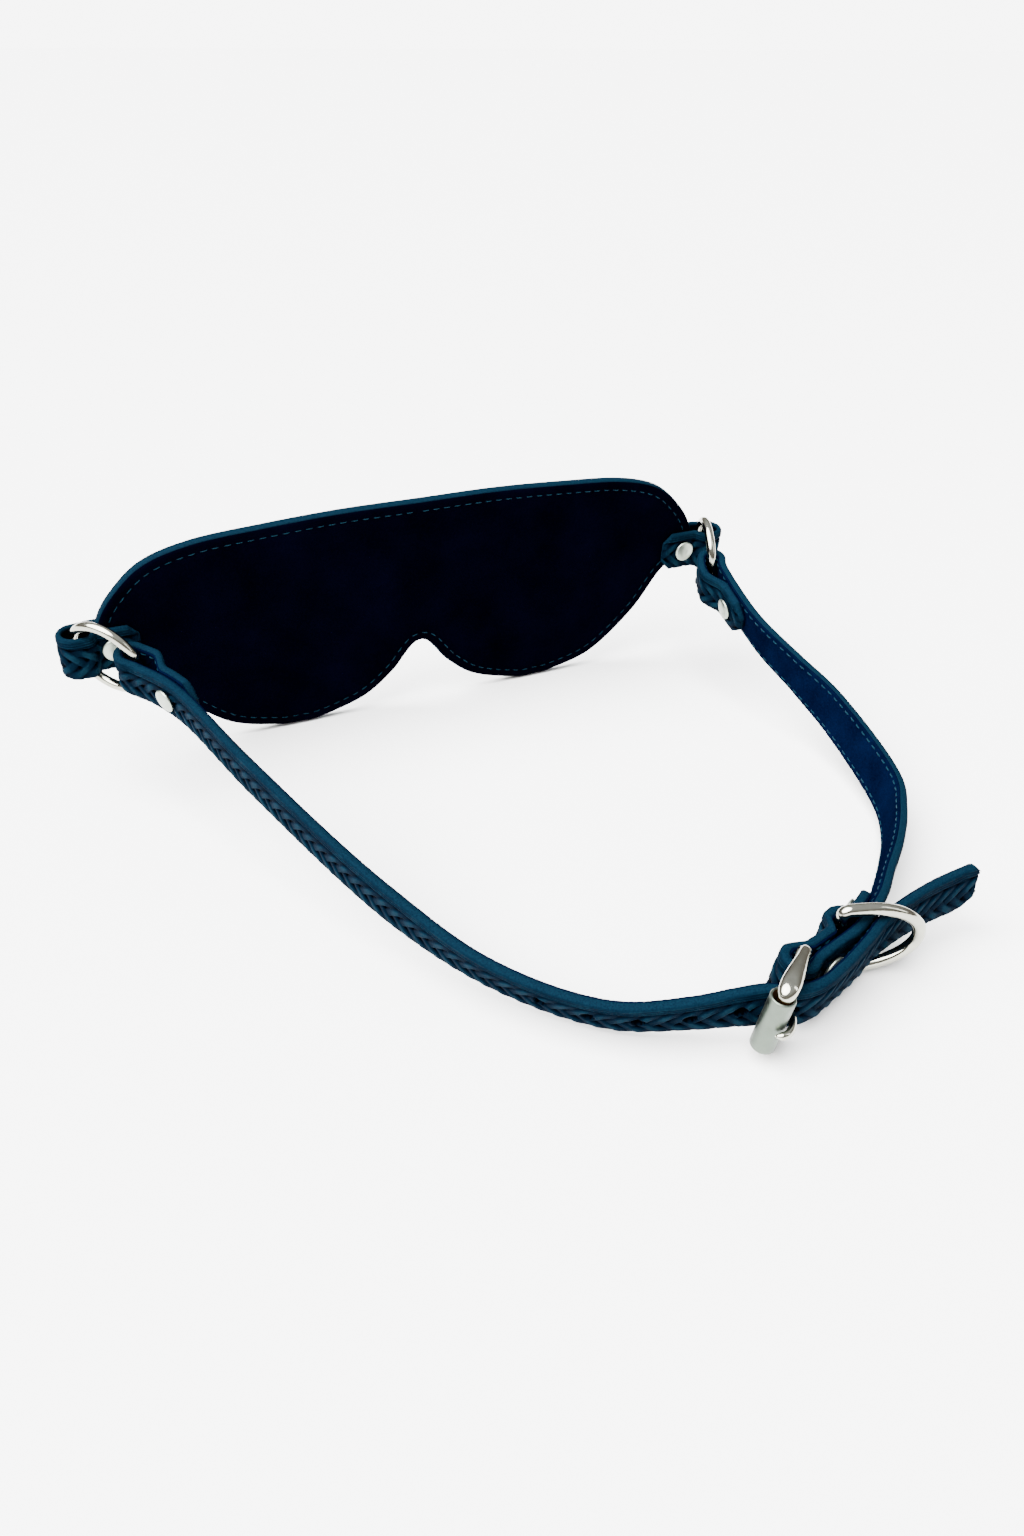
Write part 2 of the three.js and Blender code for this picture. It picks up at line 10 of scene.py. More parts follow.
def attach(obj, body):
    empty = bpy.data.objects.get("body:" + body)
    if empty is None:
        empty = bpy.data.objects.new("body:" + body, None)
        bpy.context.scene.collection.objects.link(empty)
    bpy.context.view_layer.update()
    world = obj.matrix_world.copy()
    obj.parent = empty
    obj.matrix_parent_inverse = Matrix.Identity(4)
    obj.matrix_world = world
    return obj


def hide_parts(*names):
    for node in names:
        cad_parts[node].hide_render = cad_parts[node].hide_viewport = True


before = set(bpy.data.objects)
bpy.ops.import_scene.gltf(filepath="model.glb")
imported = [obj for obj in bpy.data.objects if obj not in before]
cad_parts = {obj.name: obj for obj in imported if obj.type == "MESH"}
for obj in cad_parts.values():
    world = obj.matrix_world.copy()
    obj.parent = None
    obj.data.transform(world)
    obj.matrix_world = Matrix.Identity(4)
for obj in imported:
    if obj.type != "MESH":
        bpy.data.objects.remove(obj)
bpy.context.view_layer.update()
random.seed(11)
noiseMaker = np.random.default_rng(11)
print("frame loaded", len(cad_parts), "nodes")

depthShift = 97.0  # the mask foot line stands this far in front of the middle of the footprint, mm


def vec(*values):
    return np.array(values, float)


def unit(a):
    return a / np.linalg.norm(a, axis=-1, keepdims=True)


def smooth(low, high, value):
    f = np.clip((value - low) / (high - low), 0, 1)
    return f * f * (3 - 2 * f)


def makeMesh(name, points, faces, values=None):
    rows = np.asarray(points, float) + vec(0, depthShift, 0)
    mesh = bpy.data.meshes.new(name)
    mesh.from_pydata((rows / 1000).tolist(), [], faces)
    mesh.validate()
    mesh.polygons.foreach_set("use_smooth", [True] * len(mesh.polygons))
    for label, data in (values or {}).items():
        layer = mesh.attributes.new(label, "FLOAT", "POINT")
        layer.data.foreach_set("value", np.asarray(data, float).ravel())
    obj = bpy.data.objects.new(name, mesh)
    bpy.context.scene.collection.objects.link(obj)
    return obj


def place(obj, body, slot, material, *nodes):
    obj.data.materials.append(material)
    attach(obj, body)
    if nodes:
        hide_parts(*nodes)
    return obj


# Quads for a tube of points, ring after ring. loop joins the last ring to the first.
def gridFaces(rows, columns, loop=False):
    faces = []
    for i in range(rows if loop else rows - 1):
        a, b = i * columns, (i + 1) % rows * columns
        for k in range(columns):
            n = (k + 1) % columns
            faces.append((a + k, a + n, b + n, b + k))
    return faces


# The same tube closed at both ends. flip turns the two end faces over.
def cappedFaces(rows, columns, flip=False):
    last = (rows - 1) * columns
    ends = [tuple(range(columns))[::-1], tuple(range(last, last + columns))]
    if flip:
        ends = [end[::-1] for end in ends]
    return gridFaces(rows, columns) + ends


# A table's columns read off at new distances
def readAt(at, distance, table):
    return np.stack([np.interp(at, distance, table[:, c]) for c in range(table.shape[1])], 1)


# Many small meshes gathered into one
class Pile:
    def __init__(self):
        self.points, self.faces = [], []

    def add(self, points, faces):
        start = len(self.points)
        self.points.extend(points)
        self.faces.extend([tuple(start + k for k in f) for f in faces])


def newMaterial(name):
    material = bpy.data.materials.new(name)
    material.use_nodes = True
    tree = material.node_tree
    shader = tree.nodes["Principled BSDF"]

    def add(kind, **settings):
        made = tree.nodes.new("ShaderNode" + kind)
        for key, value in settings.items():
            if key in made.inputs:
                made.inputs[key].default_value = value
            else:
                setattr(made, key, value)
        return made

    def link(a, b):
        tree.links.new(a, b)

    return material, shader, add, link


def ramp(add, link, source, stops):
    made = add("ValToRGB")
    link(source, made.inputs["Fac"])
    ends = made.color_ramp.elements
    while len(ends) < len(stops):
        ends.new(0.5)
    for end, (position, colour) in zip(ends, stops):
        end.position = position
        end.color = (*colour, 1) if len(colour) == 3 else (colour[0],) * 3 + (1,)
    return made.outputs["Color"]


def combine(add, link, a, b, operation, amount=None):
    made = add("Math", operation=operation)
    for k, source in enumerate((a, b, amount)):
        if source is None:
            continue
        if isinstance(source, (int, float)):
            made.inputs[k].default_value = source
        else:
            link(source, made.inputs[k])
    return made.outputs[0]


def addBump(add, link, shader, *layers):
    previous = None
    for source, strength, distance in layers:
        made = add("Bump", Strength=strength, Distance=distance)
        link(source, made.inputs["Height"])
        if previous:
            link(previous.outputs[0], made.inputs["Normal"])
        previous = made
    link(previous.outputs[0], shader.inputs["Normal"])


leather = dict(
    # groove is painted shade in the embossed hollows: the lower the relief, the nearer this dark colour
    groove=(0.00003, 0.0001, 0.0006), base=(0.0002, 0.0016, 0.0044), ridge=(0.0007, 0.0038, 0.0085),
    # the brightest colour is wear plus a painted highlight on the crowns of the plait, and light fibres on
    # the cut edges
    wearAndHighlight=(0.0024, 0.0095, 0.0165), edge=(0.0015, 0.0064, 0.0125), roughness=0.6, specular=0.003,
    blotch=170.0, fine=1400.0, grain=1500.0, fibre=2600.0,  # texture scales, per metre
    blotchBump=(0.35, 0.0005), fineBump=(0.4, 0.00015), grainBump=(0.35, 0.00012),
)


# relief says how high a point stands in the embossing, edge where the cut edge of the hide shows
def leatherMaterial():
    material, shader, add, link = newMaterial("embossedLeather")
    coords = add("TexCoord").outputs["Object"]
    relief = add("Attribute", attribute_name="relief").outputs["Fac"]
    edge = add("Attribute", attribute_name="edge").outputs["Fac"]
    blotch = add("TexNoise", Scale=leather["blotch"], Detail=5.0, Roughness=0.6)
    fine = add("TexNoise", Scale=leather["fine"], Detail=4.0, Roughness=0.6)
    grain = add("TexVoronoi", Scale=leather["grain"], feature="DISTANCE_TO_EDGE")
    fibre = add("TexNoise", Scale=leather["fibre"], Detail=2.0)
    for made in (blotch, fine, grain, fibre):
        link(coords, made.inputs["Vector"])
    uneven = combine(add, link, blotch.outputs["Fac"], 0.5, "SUBTRACT")
    high = combine(add, link, uneven, 0.5, "MULTIPLY_ADD", relief)
    speckle = combine(add, link, fine.outputs["Fac"], 0.5, "SUBTRACT")
    # the colour follows the relief: painted shade in the grooves and on the low strands, the leather's own
    # colour higher up, wear and a painted highlight on the crowns
    paintedLightAndWear = combine(add, link, speckle, 0.35, "MULTIPLY_ADD", high)
    face = ramp(add, link, paintedLightAndWear, [
        (0.3, leather["groove"]), (0.48, leather["base"]), (0.85, leather["ridge"]), (1.0, leather["wearAndHighlight"])])
    cut = ramp(add, link, fibre.outputs["Fac"], [
        (0.3, leather["ridge"]), (0.5, leather["edge"]), (0.85, leather["wearAndHighlight"])])
    mix = add("Mix", data_type="RGBA")
    link(edge, mix.inputs["Factor"])
    link(face, mix.inputs[6])
    link(cut, mix.inputs[7])
    link(mix.outputs[2], shader.inputs["Base Color"])
    rough = add("MapRange")
    link(fine.outputs["Fac"], rough.inputs["Value"])
    rough.inputs["To Min"].default_value = leather["roughness"] - 0.1
    rough.inputs["To Max"].default_value = leather["roughness"] + 0.12
    link(rough.outputs[0], shader.inputs["Roughness"])
    shader.inputs["Specular IOR Level"].default_value = leather["specular"]
    addBump(add, link, shader, (grain.outputs["Distance"], *leather["grainBump"]),
            (fine.outputs["Fac"], *leather["fineBump"]), (blotch.outputs["Fac"], *leather["blotchBump"]))
    return material


velvet = dict(deep=(0.00006, 0.00006, 0.0004), pile=(0.00035, 0.00035, 0.0024), fine=1900.0, brushed=60.0)


def velvetMaterial():
    material, shader, add, link = newMaterial("velvetLining")
    coords = add("TexCoord").outputs["Object"]
    pile = add("TexNoise", Scale=velvet["fine"], Detail=3.0, Roughness=0.7)
    brushed = add("TexNoise", Scale=velvet["brushed"], Detail=4.0)
    for made in (pile, brushed):
        link(coords, made.inputs["Vector"])
    mixed = combine(add, link, brushed.outputs["Fac"], 0.6, "MULTIPLY_ADD",
                    combine(add, link, pile.outputs["Fac"], 0.5, "MULTIPLY"))
    link(ramp(add, link, mixed, [(0.35, velvet["deep"]), (0.75, velvet["pile"])]),
         shader.inputs["Base Color"])
    shader.inputs["Roughness"].default_value = 0.95
    shader.inputs["Specular IOR Level"].default_value = 0.0
    addBump(add, link, shader, (pile.outputs["Fac"], 0.5, 0.0003), (brushed.outputs["Fac"], 0.3, 0.0006))
    return material


suede = dict(deep=(0.0002, 0.0006, 0.004), nap=(0.0006, 0.0022, 0.0105), fine=1500.0, patches=110.0)


def suedeMaterial():
    material, shader, add, link = newMaterial("suedeLining")
    coords = add("TexCoord").outputs["Object"]
    nap = add("TexNoise", Scale=suede["fine"], Detail=5.0, Roughness=0.75)
    patch = add("TexNoise", Scale=suede["patches"], Detail=4.0)
    for made in (nap, patch):
        link(coords, made.inputs["Vector"])
    mixed = combine(add, link, patch.outputs["Fac"], 0.5, "MULTIPLY_ADD",
                    combine(add, link, nap.outputs["Fac"], 0.6, "MULTIPLY"))
    link(ramp(add, link, mixed, [(0.4, suede["deep"]), (0.72, suede["nap"])]), shader.inputs["Base Color"])
    shader.inputs["Roughness"].default_value = 0.9
    shader.inputs["Specular IOR Level"].default_value = 0.0
    addBump(add, link, shader, (nap.outputs["Fac"], 0.6, 0.0004))
    return material


thread = dict(dark=(0.0006, 0.006, 0.011), light=(0.002, 0.018, 0.03), twist=900.0)


def threadMaterial():
    material, shader, add, link = newMaterial("tealThread")
    coords = add("TexCoord").outputs["Object"]
    twist = add("TexWave", Scale=thread["twist"], Distortion=1.5, bands_direction="DIAGONAL")
    link(coords, twist.inputs["Vector"])
    link(ramp(add, link, twist.outputs["Fac"], [(0.2, thread["dark"]), (0.8, thread["light"])]),
         shader.inputs["Base Color"])
    shader.inputs["Roughness"].default_value = 0.7
    shader.inputs["Specular IOR Level"].default_value = 0.05
    addBump(add, link, shader, (twist.outputs["Fac"], 0.5, 0.0002))
    return material


# Colour, roughest and smoothest finish, and how deep the scratches read
metals = dict(
    polishedNickel=dict(colour=(0.34, 0.34, 0.285), low=0.06, high=0.16, scratch=0.12),
    satinNickel=dict(colour=(0.105, 0.127, 0.104), low=0.3, high=0.42, scratch=0.25),
    rivetNickel=dict(colour=(0.3, 0.34, 0.285), low=0.3, high=0.45, scratch=0.3),
    tarnishedBore=dict(colour=(0.12, 0.05, 0.02), low=0.4, high=0.6, scratch=0.3),
)


def metalMaterial(name, colour, low, high, scratch):
    material, shader, add, link = newMaterial(name)
    coords = add("TexCoord").outputs["Object"]
    cloud = add("TexNoise", Scale=260.0, Detail=5.0, Roughness=0.6)
    lines = add("TexNoise", Scale=900.0, Detail=3.0)
    stretch = add("Mapping")
    stretch.inputs["Scale"].default_value = (1, 1, 6)
    link(coords, stretch.inputs["Vector"])
    link(coords, cloud.inputs["Vector"])
    link(stretch.outputs[0], lines.inputs["Vector"])
    dull, bright = tuple(c * 0.86 for c in colour), tuple(min(1, c * 1.04) for c in colour)
    tarnish = ramp(add, link, cloud.outputs["Fac"], [(0.3, dull), (0.6, colour), (0.85, bright)])
    link(tarnish, shader.inputs["Base Color"])
    shader.inputs["Metallic"].default_value = 1.0
    rough = add("MapRange")
    link(lines.outputs["Fac"], rough.inputs["Value"])
    rough.inputs["From Min"].default_value = 0.3
    rough.inputs["From Max"].default_value = 0.7
    rough.inputs["To Min"].default_value = low
    rough.inputs["To Max"].default_value = high
    link(rough.outputs[0], shader.inputs["Roughness"])
    addBump(add, link, shader,
            (lines.outputs["Fac"], scratch, 0.00006), (cloud.outputs["Fac"], scratch, 0.0002))
    return material


foam = dict(dark=(0.05, 0.055, 0.06), light=(0.12, 0.125, 0.13), cells=900.0)


def foamMaterial():
    material, shader, add, link = newMaterial("foamPadding")
    cells = add("TexVoronoi", Scale=foam["cells"])
    link(add("TexCoord").outputs["Object"], cells.inputs["Vector"])
    link(ramp(add, link, cells.outputs["Distance"], [(0.1, foam["dark"]), (0.7, foam["light"])]),
         shader.inputs["Base Color"])
    shader.inputs["Roughness"].default_value = 0.95
    addBump(add, link, shader, (cells.outputs["Distance"], 0.6, 0.0004))
    return material


leatherLook = leatherMaterial()
velvetLook = velvetMaterial()
suedeLook = suedeMaterial()
threadLook = threadMaterial()
nickelLook, rollerLook, rivetLook, boreLook = (metalMaterial(name, **look) for name, look in metals.items())
print("materials ready")


# A path is three arrays: middle points p, width directions w and outward directions n
def splineThrough(points, dense):
    p = np.asarray(points, float)
    p = np.vstack([2 * p[0] - p[1], p, 2 * p[-1] - p[-2]])
    out = []
    for i in range(1, len(p) - 2):
        gap = [max(np.linalg.norm(p[i + k] - p[i + k - 1]) ** 0.5, 1e-4) for k in range(3)]
        t1, t2 = (
            ((p[j] - p[j - 1]) / g - (p[j + 1] - p[j - 1]) / (g + h) + (p[j + 1] - p[j]) / h) * gap[1]
            for j, g, h in ((i, gap[0], gap[1]), (i + 1, gap[1], gap[2])))
        f = np.linspace(0, 1, dense, endpoint=False)[:, None]
        a, b = p[i], p[i + 1]
        out.append(a + t1 * f + (3 * b - 3 * a - 2 * t1 - t2) * f ** 2 + (2 * a - 2 * b + t1 + t2) * f ** 3)
    out.append(p[-2][None])
    return np.vstack(out)


def arcLength(p):
    return np.concatenate([[0], np.cumsum(np.linalg.norm(np.diff(p, axis=0), axis=1))])


def resample(path, step):
    d = arcLength(path["p"])
    at = np.linspace(0, d[-1], int(d[-1] / step) + 1)
    made = {k: readAt(at, d, path[k]) for k in "pwn"}
    made["w"] = unit(made["w"])
    made["n"] = unit(made["n"] - made["w"] * np.sum(made["n"] * made["w"], 1, keepdims=True))
    return made


def strapPath(rows, outSign, step):
    table = np.array(rows, float)
    p = splineThrough(table[:, :3], 60)
    leans = np.column_stack([np.arange(len(table)) * 30.0, table[:, 3]])
    lean = np.radians(splineThrough(leans, 60)[:, 1])
    d = arcLength(p)
    at = np.linspace(0, d[-1], int(d[-1] / step) + 1)
    p = readAt(at, d, p)
    lean = np.interp(at, d, lean)
    t = unit(np.gradient(p, axis=0))
    up = unit(vec(0, 0, 1) - t * t[:, 2:3])
    side = unit(np.column_stack([t[:, 1], -t[:, 0], 0 * t[:, 0]])) * outSign
    normal = np.cross(up, t)
    normal *= np.sign(np.sum(normal * side, 1, keepdims=True))
    cosine, sine = np.cos(lean)[:, None], np.sin(lean)[:, None]
    return dict(p=p, w=up * cosine + normal * sine, n=normal * cosine - up * sine)


def profile(rows, distance):
    at, values = zip(*rows)
    out = np.full_like(distance, values[-1])
    for i in range(len(at) - 1, 0, -1):
        f = smooth(at[i - 1], at[i], distance)
        out = np.where(distance <= at[i], values[i - 1] + (values[i] - values[i - 1]) * f, out)
    return np.where(distance <= at[0], values[0], out)


fold = 3.55  # middle radius where a strap turns round a wire, mm


def foldBack(path, separation, tail):
    first, w, n = path["p"][0], path["w"][0], path["n"][0]
    away = unit(first - path["p"][1])
    away = unit(away - n * away.dot(n))
    turn = np.linspace(math.pi, 0, 38)[1:-1, None]
    turnNormal = n * np.cos(turn) + away * np.sin(turn)
    turned = dict(p=first - n * fold + turnNormal * fold, w=np.tile(w, (36, 1)), n=turnNormal)
    d = arcLength(path["p"])
    keep = d <= tail
    apart = profile(separation, d[keep])[:, None]
    near = {k: path[k][keep][::-1] for k in "pwn"}
    back = dict(p=near["p"] - near["n"] * apart[::-1], w=near["w"], n=-near["n"])
    return {k: np.vstack([back[k], turned[k], path[k]]) for k in "pwn"}


def reverse(path):
    return {k: path[k][::-1] for k in "pwn"}


def stationAt(path, distance):
    d = arcLength(path["p"])
    p, w, n = (vec(*[np.interp(distance, d, path[k][:, c]) for c in range(3)]) for k in "pwn")
    return p, unit(w), unit(n)


emboss = dict(
    strands=5, scallop=4.7,  # plaited strands and how far apart they reach the lower edge, mm
    strandWidth=2.45, weave=0.34, middle=0.66,  # lace width, how far a strand rises and dips and about what
    low=-6.5, high=3.4,  # the plait's band across the strap
    depth=0.95,  # deepest groove, mm
    plain=0.92, wrinkles=((3.9, 0.5), (4.8, 0.28), (5.6, 0.22)),  # smooth band, and creases along it
    wrinkleWidth=0.16, wander=0.22,
)


# Height of the stamped plait: 0 in the grooves, about 1 on the crowns and -1 outside the plait
def plaitHeight(along, across):
    pitch = emboss["scallop"] * emboss["strands"]
    middle = (emboss["low"] + emboss["high"]) / 2
    swing = (emboss["high"] - emboss["low"] - emboss["strandWidth"]) / 2
    best = np.full(np.broadcast(along, across).shape, -1.0)
    for k in range(emboss["strands"]):
        phase = 2 * math.pi * (along / pitch + k / emboss["strands"])
        centre = middle + swing * np.sin(phase)
        slope = swing * 2 * math.pi / pitch * np.cos(phase)
        off = (across - centre) / np.sqrt(1 + slope ** 2) / (emboss["strandWidth"] / 2)
        lace = np.clip(1 - off ** 6, 0, 1) ** 0.7
        level = emboss["middle"] + emboss["weave"] * np.sin(2 * phase)
        best = np.maximum(best, np.where(np.abs(off) < 1, level * (0.1 + 0.9 * lace), -1))
    inside = (across > emboss["low"] - 0.4) & (across < emboss["high"] + 0.1)
    return np.where(inside, np.clip(best, 0, 1), -1)


def bandHeight(along, across, wander):
    height = plaitHeight(along, across)
    plain = emboss["plain"] + 0 * along * across
    for row, deep in emboss["wrinkles"]:
        line = row + emboss["wander"] * np.interp(along, *wander)
        plain = plain - deep * np.exp(-((across - line) / emboss["wrinkleWidth"]) ** 2)
    plain = plain * smooth(emboss["high"] - 0.25, emboss["high"] + 0.4, across)
    return np.clip(np.maximum(height, np.where(across > emboss["high"] - 0.3, plain, -1)), 0, 1.1)


# Prong holes: shallow pits painted dark as shade inside them, with a slightly raised rim, mm
punch = dict(radius=1.55, spacing=11.4, count=6, rim=2.1, rimWidth=0.35, rimHeight=0.12, floor=0.5)


def wanderLine(length):
    at = np.arange(0, length + 8, 4.0)
    return at, noiseMaker.normal(0, 1, len(at))


step = 0.3
fineAcross = 54
band = dict(scallop=0.32, shoulder=0.35, bulge=0.1, fuzz=0.035, heights=(0.86, 0.6, 0.34, 0.1))


# Offsets x across and z outward from a path's middle line, as points
def bandPoints(path, x, z):
    return (path["p"][:, None, :] + path["w"][:, None, :] * x[:, :, None]
            + path["n"][:, None, :] * z[:, :, None])


# Leather band: outer face with the embossing, round shoulders, cut edges and a plain inner face.
# width(d, total) is the half width. bottom and top are offsets from the middle surface, mm.
def leatherBand(name, path, width, bottom, top, shift=0.0, holes=()):
    d = arcLength(path["p"])
    total = d[-1]
    wander = wanderLine(total)
    half = width(d, total)
    v = np.linspace(-1, 1, fineAcross)
    cross = v[None, :] * half[:, None] * 0.94
    face = bandHeight(d[:, None], cross + np.reshape(shift, (-1, 1)), wander)
    ends = smooth(0, 1.2, np.minimum(d, total - d))[:, None]
    edgeNear = half[:, None] - np.abs(cross)
    lower = plaitHeight(d[:, None], np.full((len(d), 1), emboss["low"] + 0.9))
    scallop = band["scallop"] * (1 - smooth(0.25, 0.7, lower))
    shoulder = band["shoulder"] * (1 - smooth(0, 0.9, edgeNear)) ** 2
    lift = top - emboss["depth"] * (1 - face) - shoulder
    lift = bottom + 0.4 + (lift - bottom - 0.4) * (0.35 + 0.65 * ends)
    for at in holes:
        far = np.hypot(d[:, None] - at, cross)
        rim = punch["rimHeight"] * np.exp(-((far - punch["rim"]) / punch["rimWidth"]) ** 2)
        lift = np.where(far < punch["radius"], bottom + punch["floor"], lift + rim)
        # the pit and its edge get relief 0, the darkest groove colour, as painted shade inside the hole
        face = np.where(far < punch["radius"] + 0.1, 0, face)
    inward = 1 - scallop / np.maximum(half[:, None], 0.5) * (cross < -half[:, None] * 0.6)
    columns = [(cross * inward, lift, face, (1 - smooth(0.0, 0.55, edgeNear)) * 0.8)]

    def addColumn(x, z, relief, edge):
        columns.append((x[:, None], *(np.full((len(d), 1), value) for value in (z, relief, edge))))

    # the upper cut edge, the inner face, then the lower cut edge with its scallops
    fuzz = noiseMaker.normal(0, band["fuzz"], (len(d), 2 * len(band["heights"])))
    bulges = [band["bulge"] * math.sin(math.pi * h) for h in band["heights"]]
    span = top - 0.3 - bottom
    for k, h in enumerate(band["heights"]):
        addColumn(half + (bulges[k] + fuzz[:, k]), bottom + span * h, 0.55, 1.0)
    for f in (0.85, 0.3, -0.3, -0.85):
        addColumn(half * f, bottom, 0.3, 0.0)
    for k, h in enumerate(band["heights"][::-1]):
        bulge = bulges[-1 - k] + fuzz[:, k + len(band["heights"])]
        addColumn(-(half + 0.25 - scallop[:, 0] * (0.4 + 0.6 * h) + bulge), bottom + span * h, 0.55, 1.0)
    x, z, relief, edge = (np.hstack(part) for part in zip(*columns))
    return makeMesh(name, bandPoints(path, x, z).reshape(-1, 3), cappedFaces(*x.shape),
                    dict(relief=relief, edge=edge))


# A stitch along its length: how far along, how thick, how high
stitchRows = (
    (0, 0.35, -0.3), (0.12, 0.85, -0.02), (0.35, 1, 0.1), (0.65, 1, 0.1), (0.88, 0.85, -0.02),
    (1, 0.35, -0.3))


# Row of stitches standing a little proud: short rounded bars sunk at both ends
def stitches(pile, places, radius=0.24, sides=6):
    for start, end, up in places:
        line = end - start
        side = unit(np.cross(line / np.linalg.norm(line), up))
        rings = []
        for f, thick, rise in stitchRows:
            centre = start + line * f + up * rise
            for k in range(sides):
                a = 2 * math.pi * k / sides
                rings.append(centre + (side * math.cos(a) + up * 0.8 * math.sin(a)) * radius * thick)
        pile.add(rings, gridFaces(len(stitchRows), sides))


def stitchesAlong(path, across, lift, pitch, length, start, stop):
    places = []
    at = start
    while at + length < stop:
        ends = []
        for q in (at, at + length):
            p, w, n = stationAt(path, q)
            ends.append(p + w * (across + random.uniform(-0.08, 0.08)) + n * lift)
        places.append((ends[0], ends[1], n * (1 if lift > 0 else -1)))
        at += pitch + random.uniform(-0.12, 0.12)
    return places


# The rings and strap runs follow the same lines as the CAD part
def ringFrame(ring):
    h, t, drop = (math.radians(ring[k]) for k in ("heading", "tilt", "drop"))
    d = vec(math.cos(h), math.sin(h), 0)
    level = vec(-d[1], d[0], 0)
    up = vec(0, 0, math.cos(t)) + level * math.sin(t)
    pull = d * math.cos(drop) - up * math.sin(drop)
    return d, up, pull, np.cross(d, up) * ring["lean"]


rings = dict(
    left=dict(centre=vec(-101.2, -12.4, 42), heading=-49.5, tilt=-17, drop=11.4, lean=1),
    right=dict(centre=vec(103.6, -13.8, 42.2), heading=-111.5, tilt=-5, drop=20, lean=-1),
    radius=11.5, wire=1.5,
)


def strapStart(ring):
    pull, normal = ringFrame(ring)[2:]
    start = ring["centre"] + pull * (rings["radius"] - 2.3) + normal * fold
    return start, start + pull * 6


buckle = dict(
    origin=vec(22, -183.5, 12), along=unit(vec(-0.778, -0.628, 0)), tilt=11, spacing=16.07, half=8.3,
    wire=1.5, pin=1.2, prong=0.95,
    shank=(4, 13), enters=2.1,  # where along and above the back bar the prong meets the strap
)
flatSide = vec(-buckle["along"][1], buckle["along"][0], 0)
tilt = math.radians(buckle["tilt"])
bars = vec(0, 0, math.cos(tilt)) + flatSide * math.sin(tilt)
outward = flatSide * math.cos(tilt) - vec(0, 0, math.sin(tilt))


def inBuckle(points):
    p = np.asarray(points, float)
    return buckle["origin"] + p[..., 0:1] * buckle["along"] + p[..., 1:2] * outward + p[..., 2:3] * bars


strap = dict(
    width=13.0, thick=2.8, lining=0.35, liningInset=0.25, ringTail=26, buckleTail=37, folded=3.6,
    longRun=[  # middle line and lean in degrees
        (-86.6, -38.6, 36.7, 11), (-75.2, -72, 28.2, 10), (-54.9, -124.6, 15.5, 12),
        (-39.1, -153.1, 9.8, 24), (-20, -173.7, 8, 26.5), (-4.2, -182.2, 9.7, 21), (5.5, -186.1, 11.2, 14),
        (11, -188.3, 11.8, 10.5), (16, -191.3, 12, 12), (22, -191.8, 12, 12), (30, -189.2, 12, 12),
        (41, -184.6, 12.3, 9), (49.3, -180.45, 12.4, 7), (60, -177, 12.4, 6), (72, -174.6, 12.4, 4),
        (86.3, -173.4, 12.5, 2)],
    shortRun=[
        (100.9, -45, 31.4, -13), (101, -56, 27.6, -11), (103, -73, 22.2, -5), (104.4, -90, 17, 9),
        (97.8, -126, 9.9, 19), (89, -139.8, 9.3, 14), (78.6, -151, 9.6, 14), (66, -162.3, 10.4, 12),
        (57, -170.4, 11.2, 11), (50, -175.4, 11.8, 10), (44.7, -178.5, 12, 9), (40.6, -180.4, 12, 9),
        (33, -182.7, 12, 10), (27.4, -184.4, 12, 11), (23.8, -186.55, 12, 11)],
    stitch=dict(inset=1.5, pitch=3.3, length=2.3),
)


# The free end's top corner is clipped, its lower corner rounded away
def tipEdges(left):
    top = strap["width"] / 2 - np.maximum(0, 2.5 - left)
    return top, strap["width"] / 2 * np.sqrt(1 - (np.maximum(0, 9 - left) / 9.4) ** 2)


def startRows(ring, leans, rows):
    a, b = strapStart(ring)
    return [(*a, leans[0]), (*b, leans[1])] + rows


longRun = strapPath(startRows(rings["left"], (17.4, 16), strap["longRun"]), 1, step)
shortRun = strapPath(startRows(rings["right"], (-5, -8), strap["shortRun"]), -1, step)
shortBack = reverse(shortRun)
# How far a folded tail lies from the strap, by distance from the fold
apart = strap["thick"] + 0.35
flat = strap["folded"]
ringTail = [(5.4, 2 * fold), (13.5, apart), (40, apart)]
buckleTail = [(0.8, 2 * fold), (5.8, flat), (13.2, flat), (16.8, 7.1), (20, 7.1), (25.8, flat), (60, flat)]
# The prong goes through the long strap where the strap crosses the shank
local = longRun["p"] - buckle["origin"]
fromBar, rise = local @ buckle["along"], local @ outward
low, high = buckle["shank"]
crossing = int(np.argmax((fromBar > low) & (fromBar < high) & (rise > buckle["enters"])))
prongAt = arcLength(longRun["p"])[crossing]
longPath = resample(foldBack(longRun, ringTail, strap["ringTail"]), step)
foldLength = arcLength(longPath["p"])[-1] - arcLength(longRun["p"])[-1]
holes = [foldLength + prongAt - punch["spacing"] * k for k in range(punch["count"])]
walk = arcLength(longPath["p"])
top, low = tipEdges(walk[-1] - walk)
tipShift = (top - low) / 2
longPath["p"] = longPath["p"] + longPath["w"] * tipShift[:, None]
shortPath = reverse(foldBack(shortBack, buckleTail, strap["buckleTail"]))
shortPath = resample(foldBack(shortPath, ringTail, strap["ringTail"]), step)


def tipWidth(d, total):
    top, low = tipEdges(total - d)
    return np.minimum((top + low) / 2, strap["width"] / 2 - np.maximum(0, 4 - d))


def clippedEnds(d, total):
    return strap["width"] / 2 - np.maximum(0, 4 - d) - np.maximum(0, 4 - (total - d))


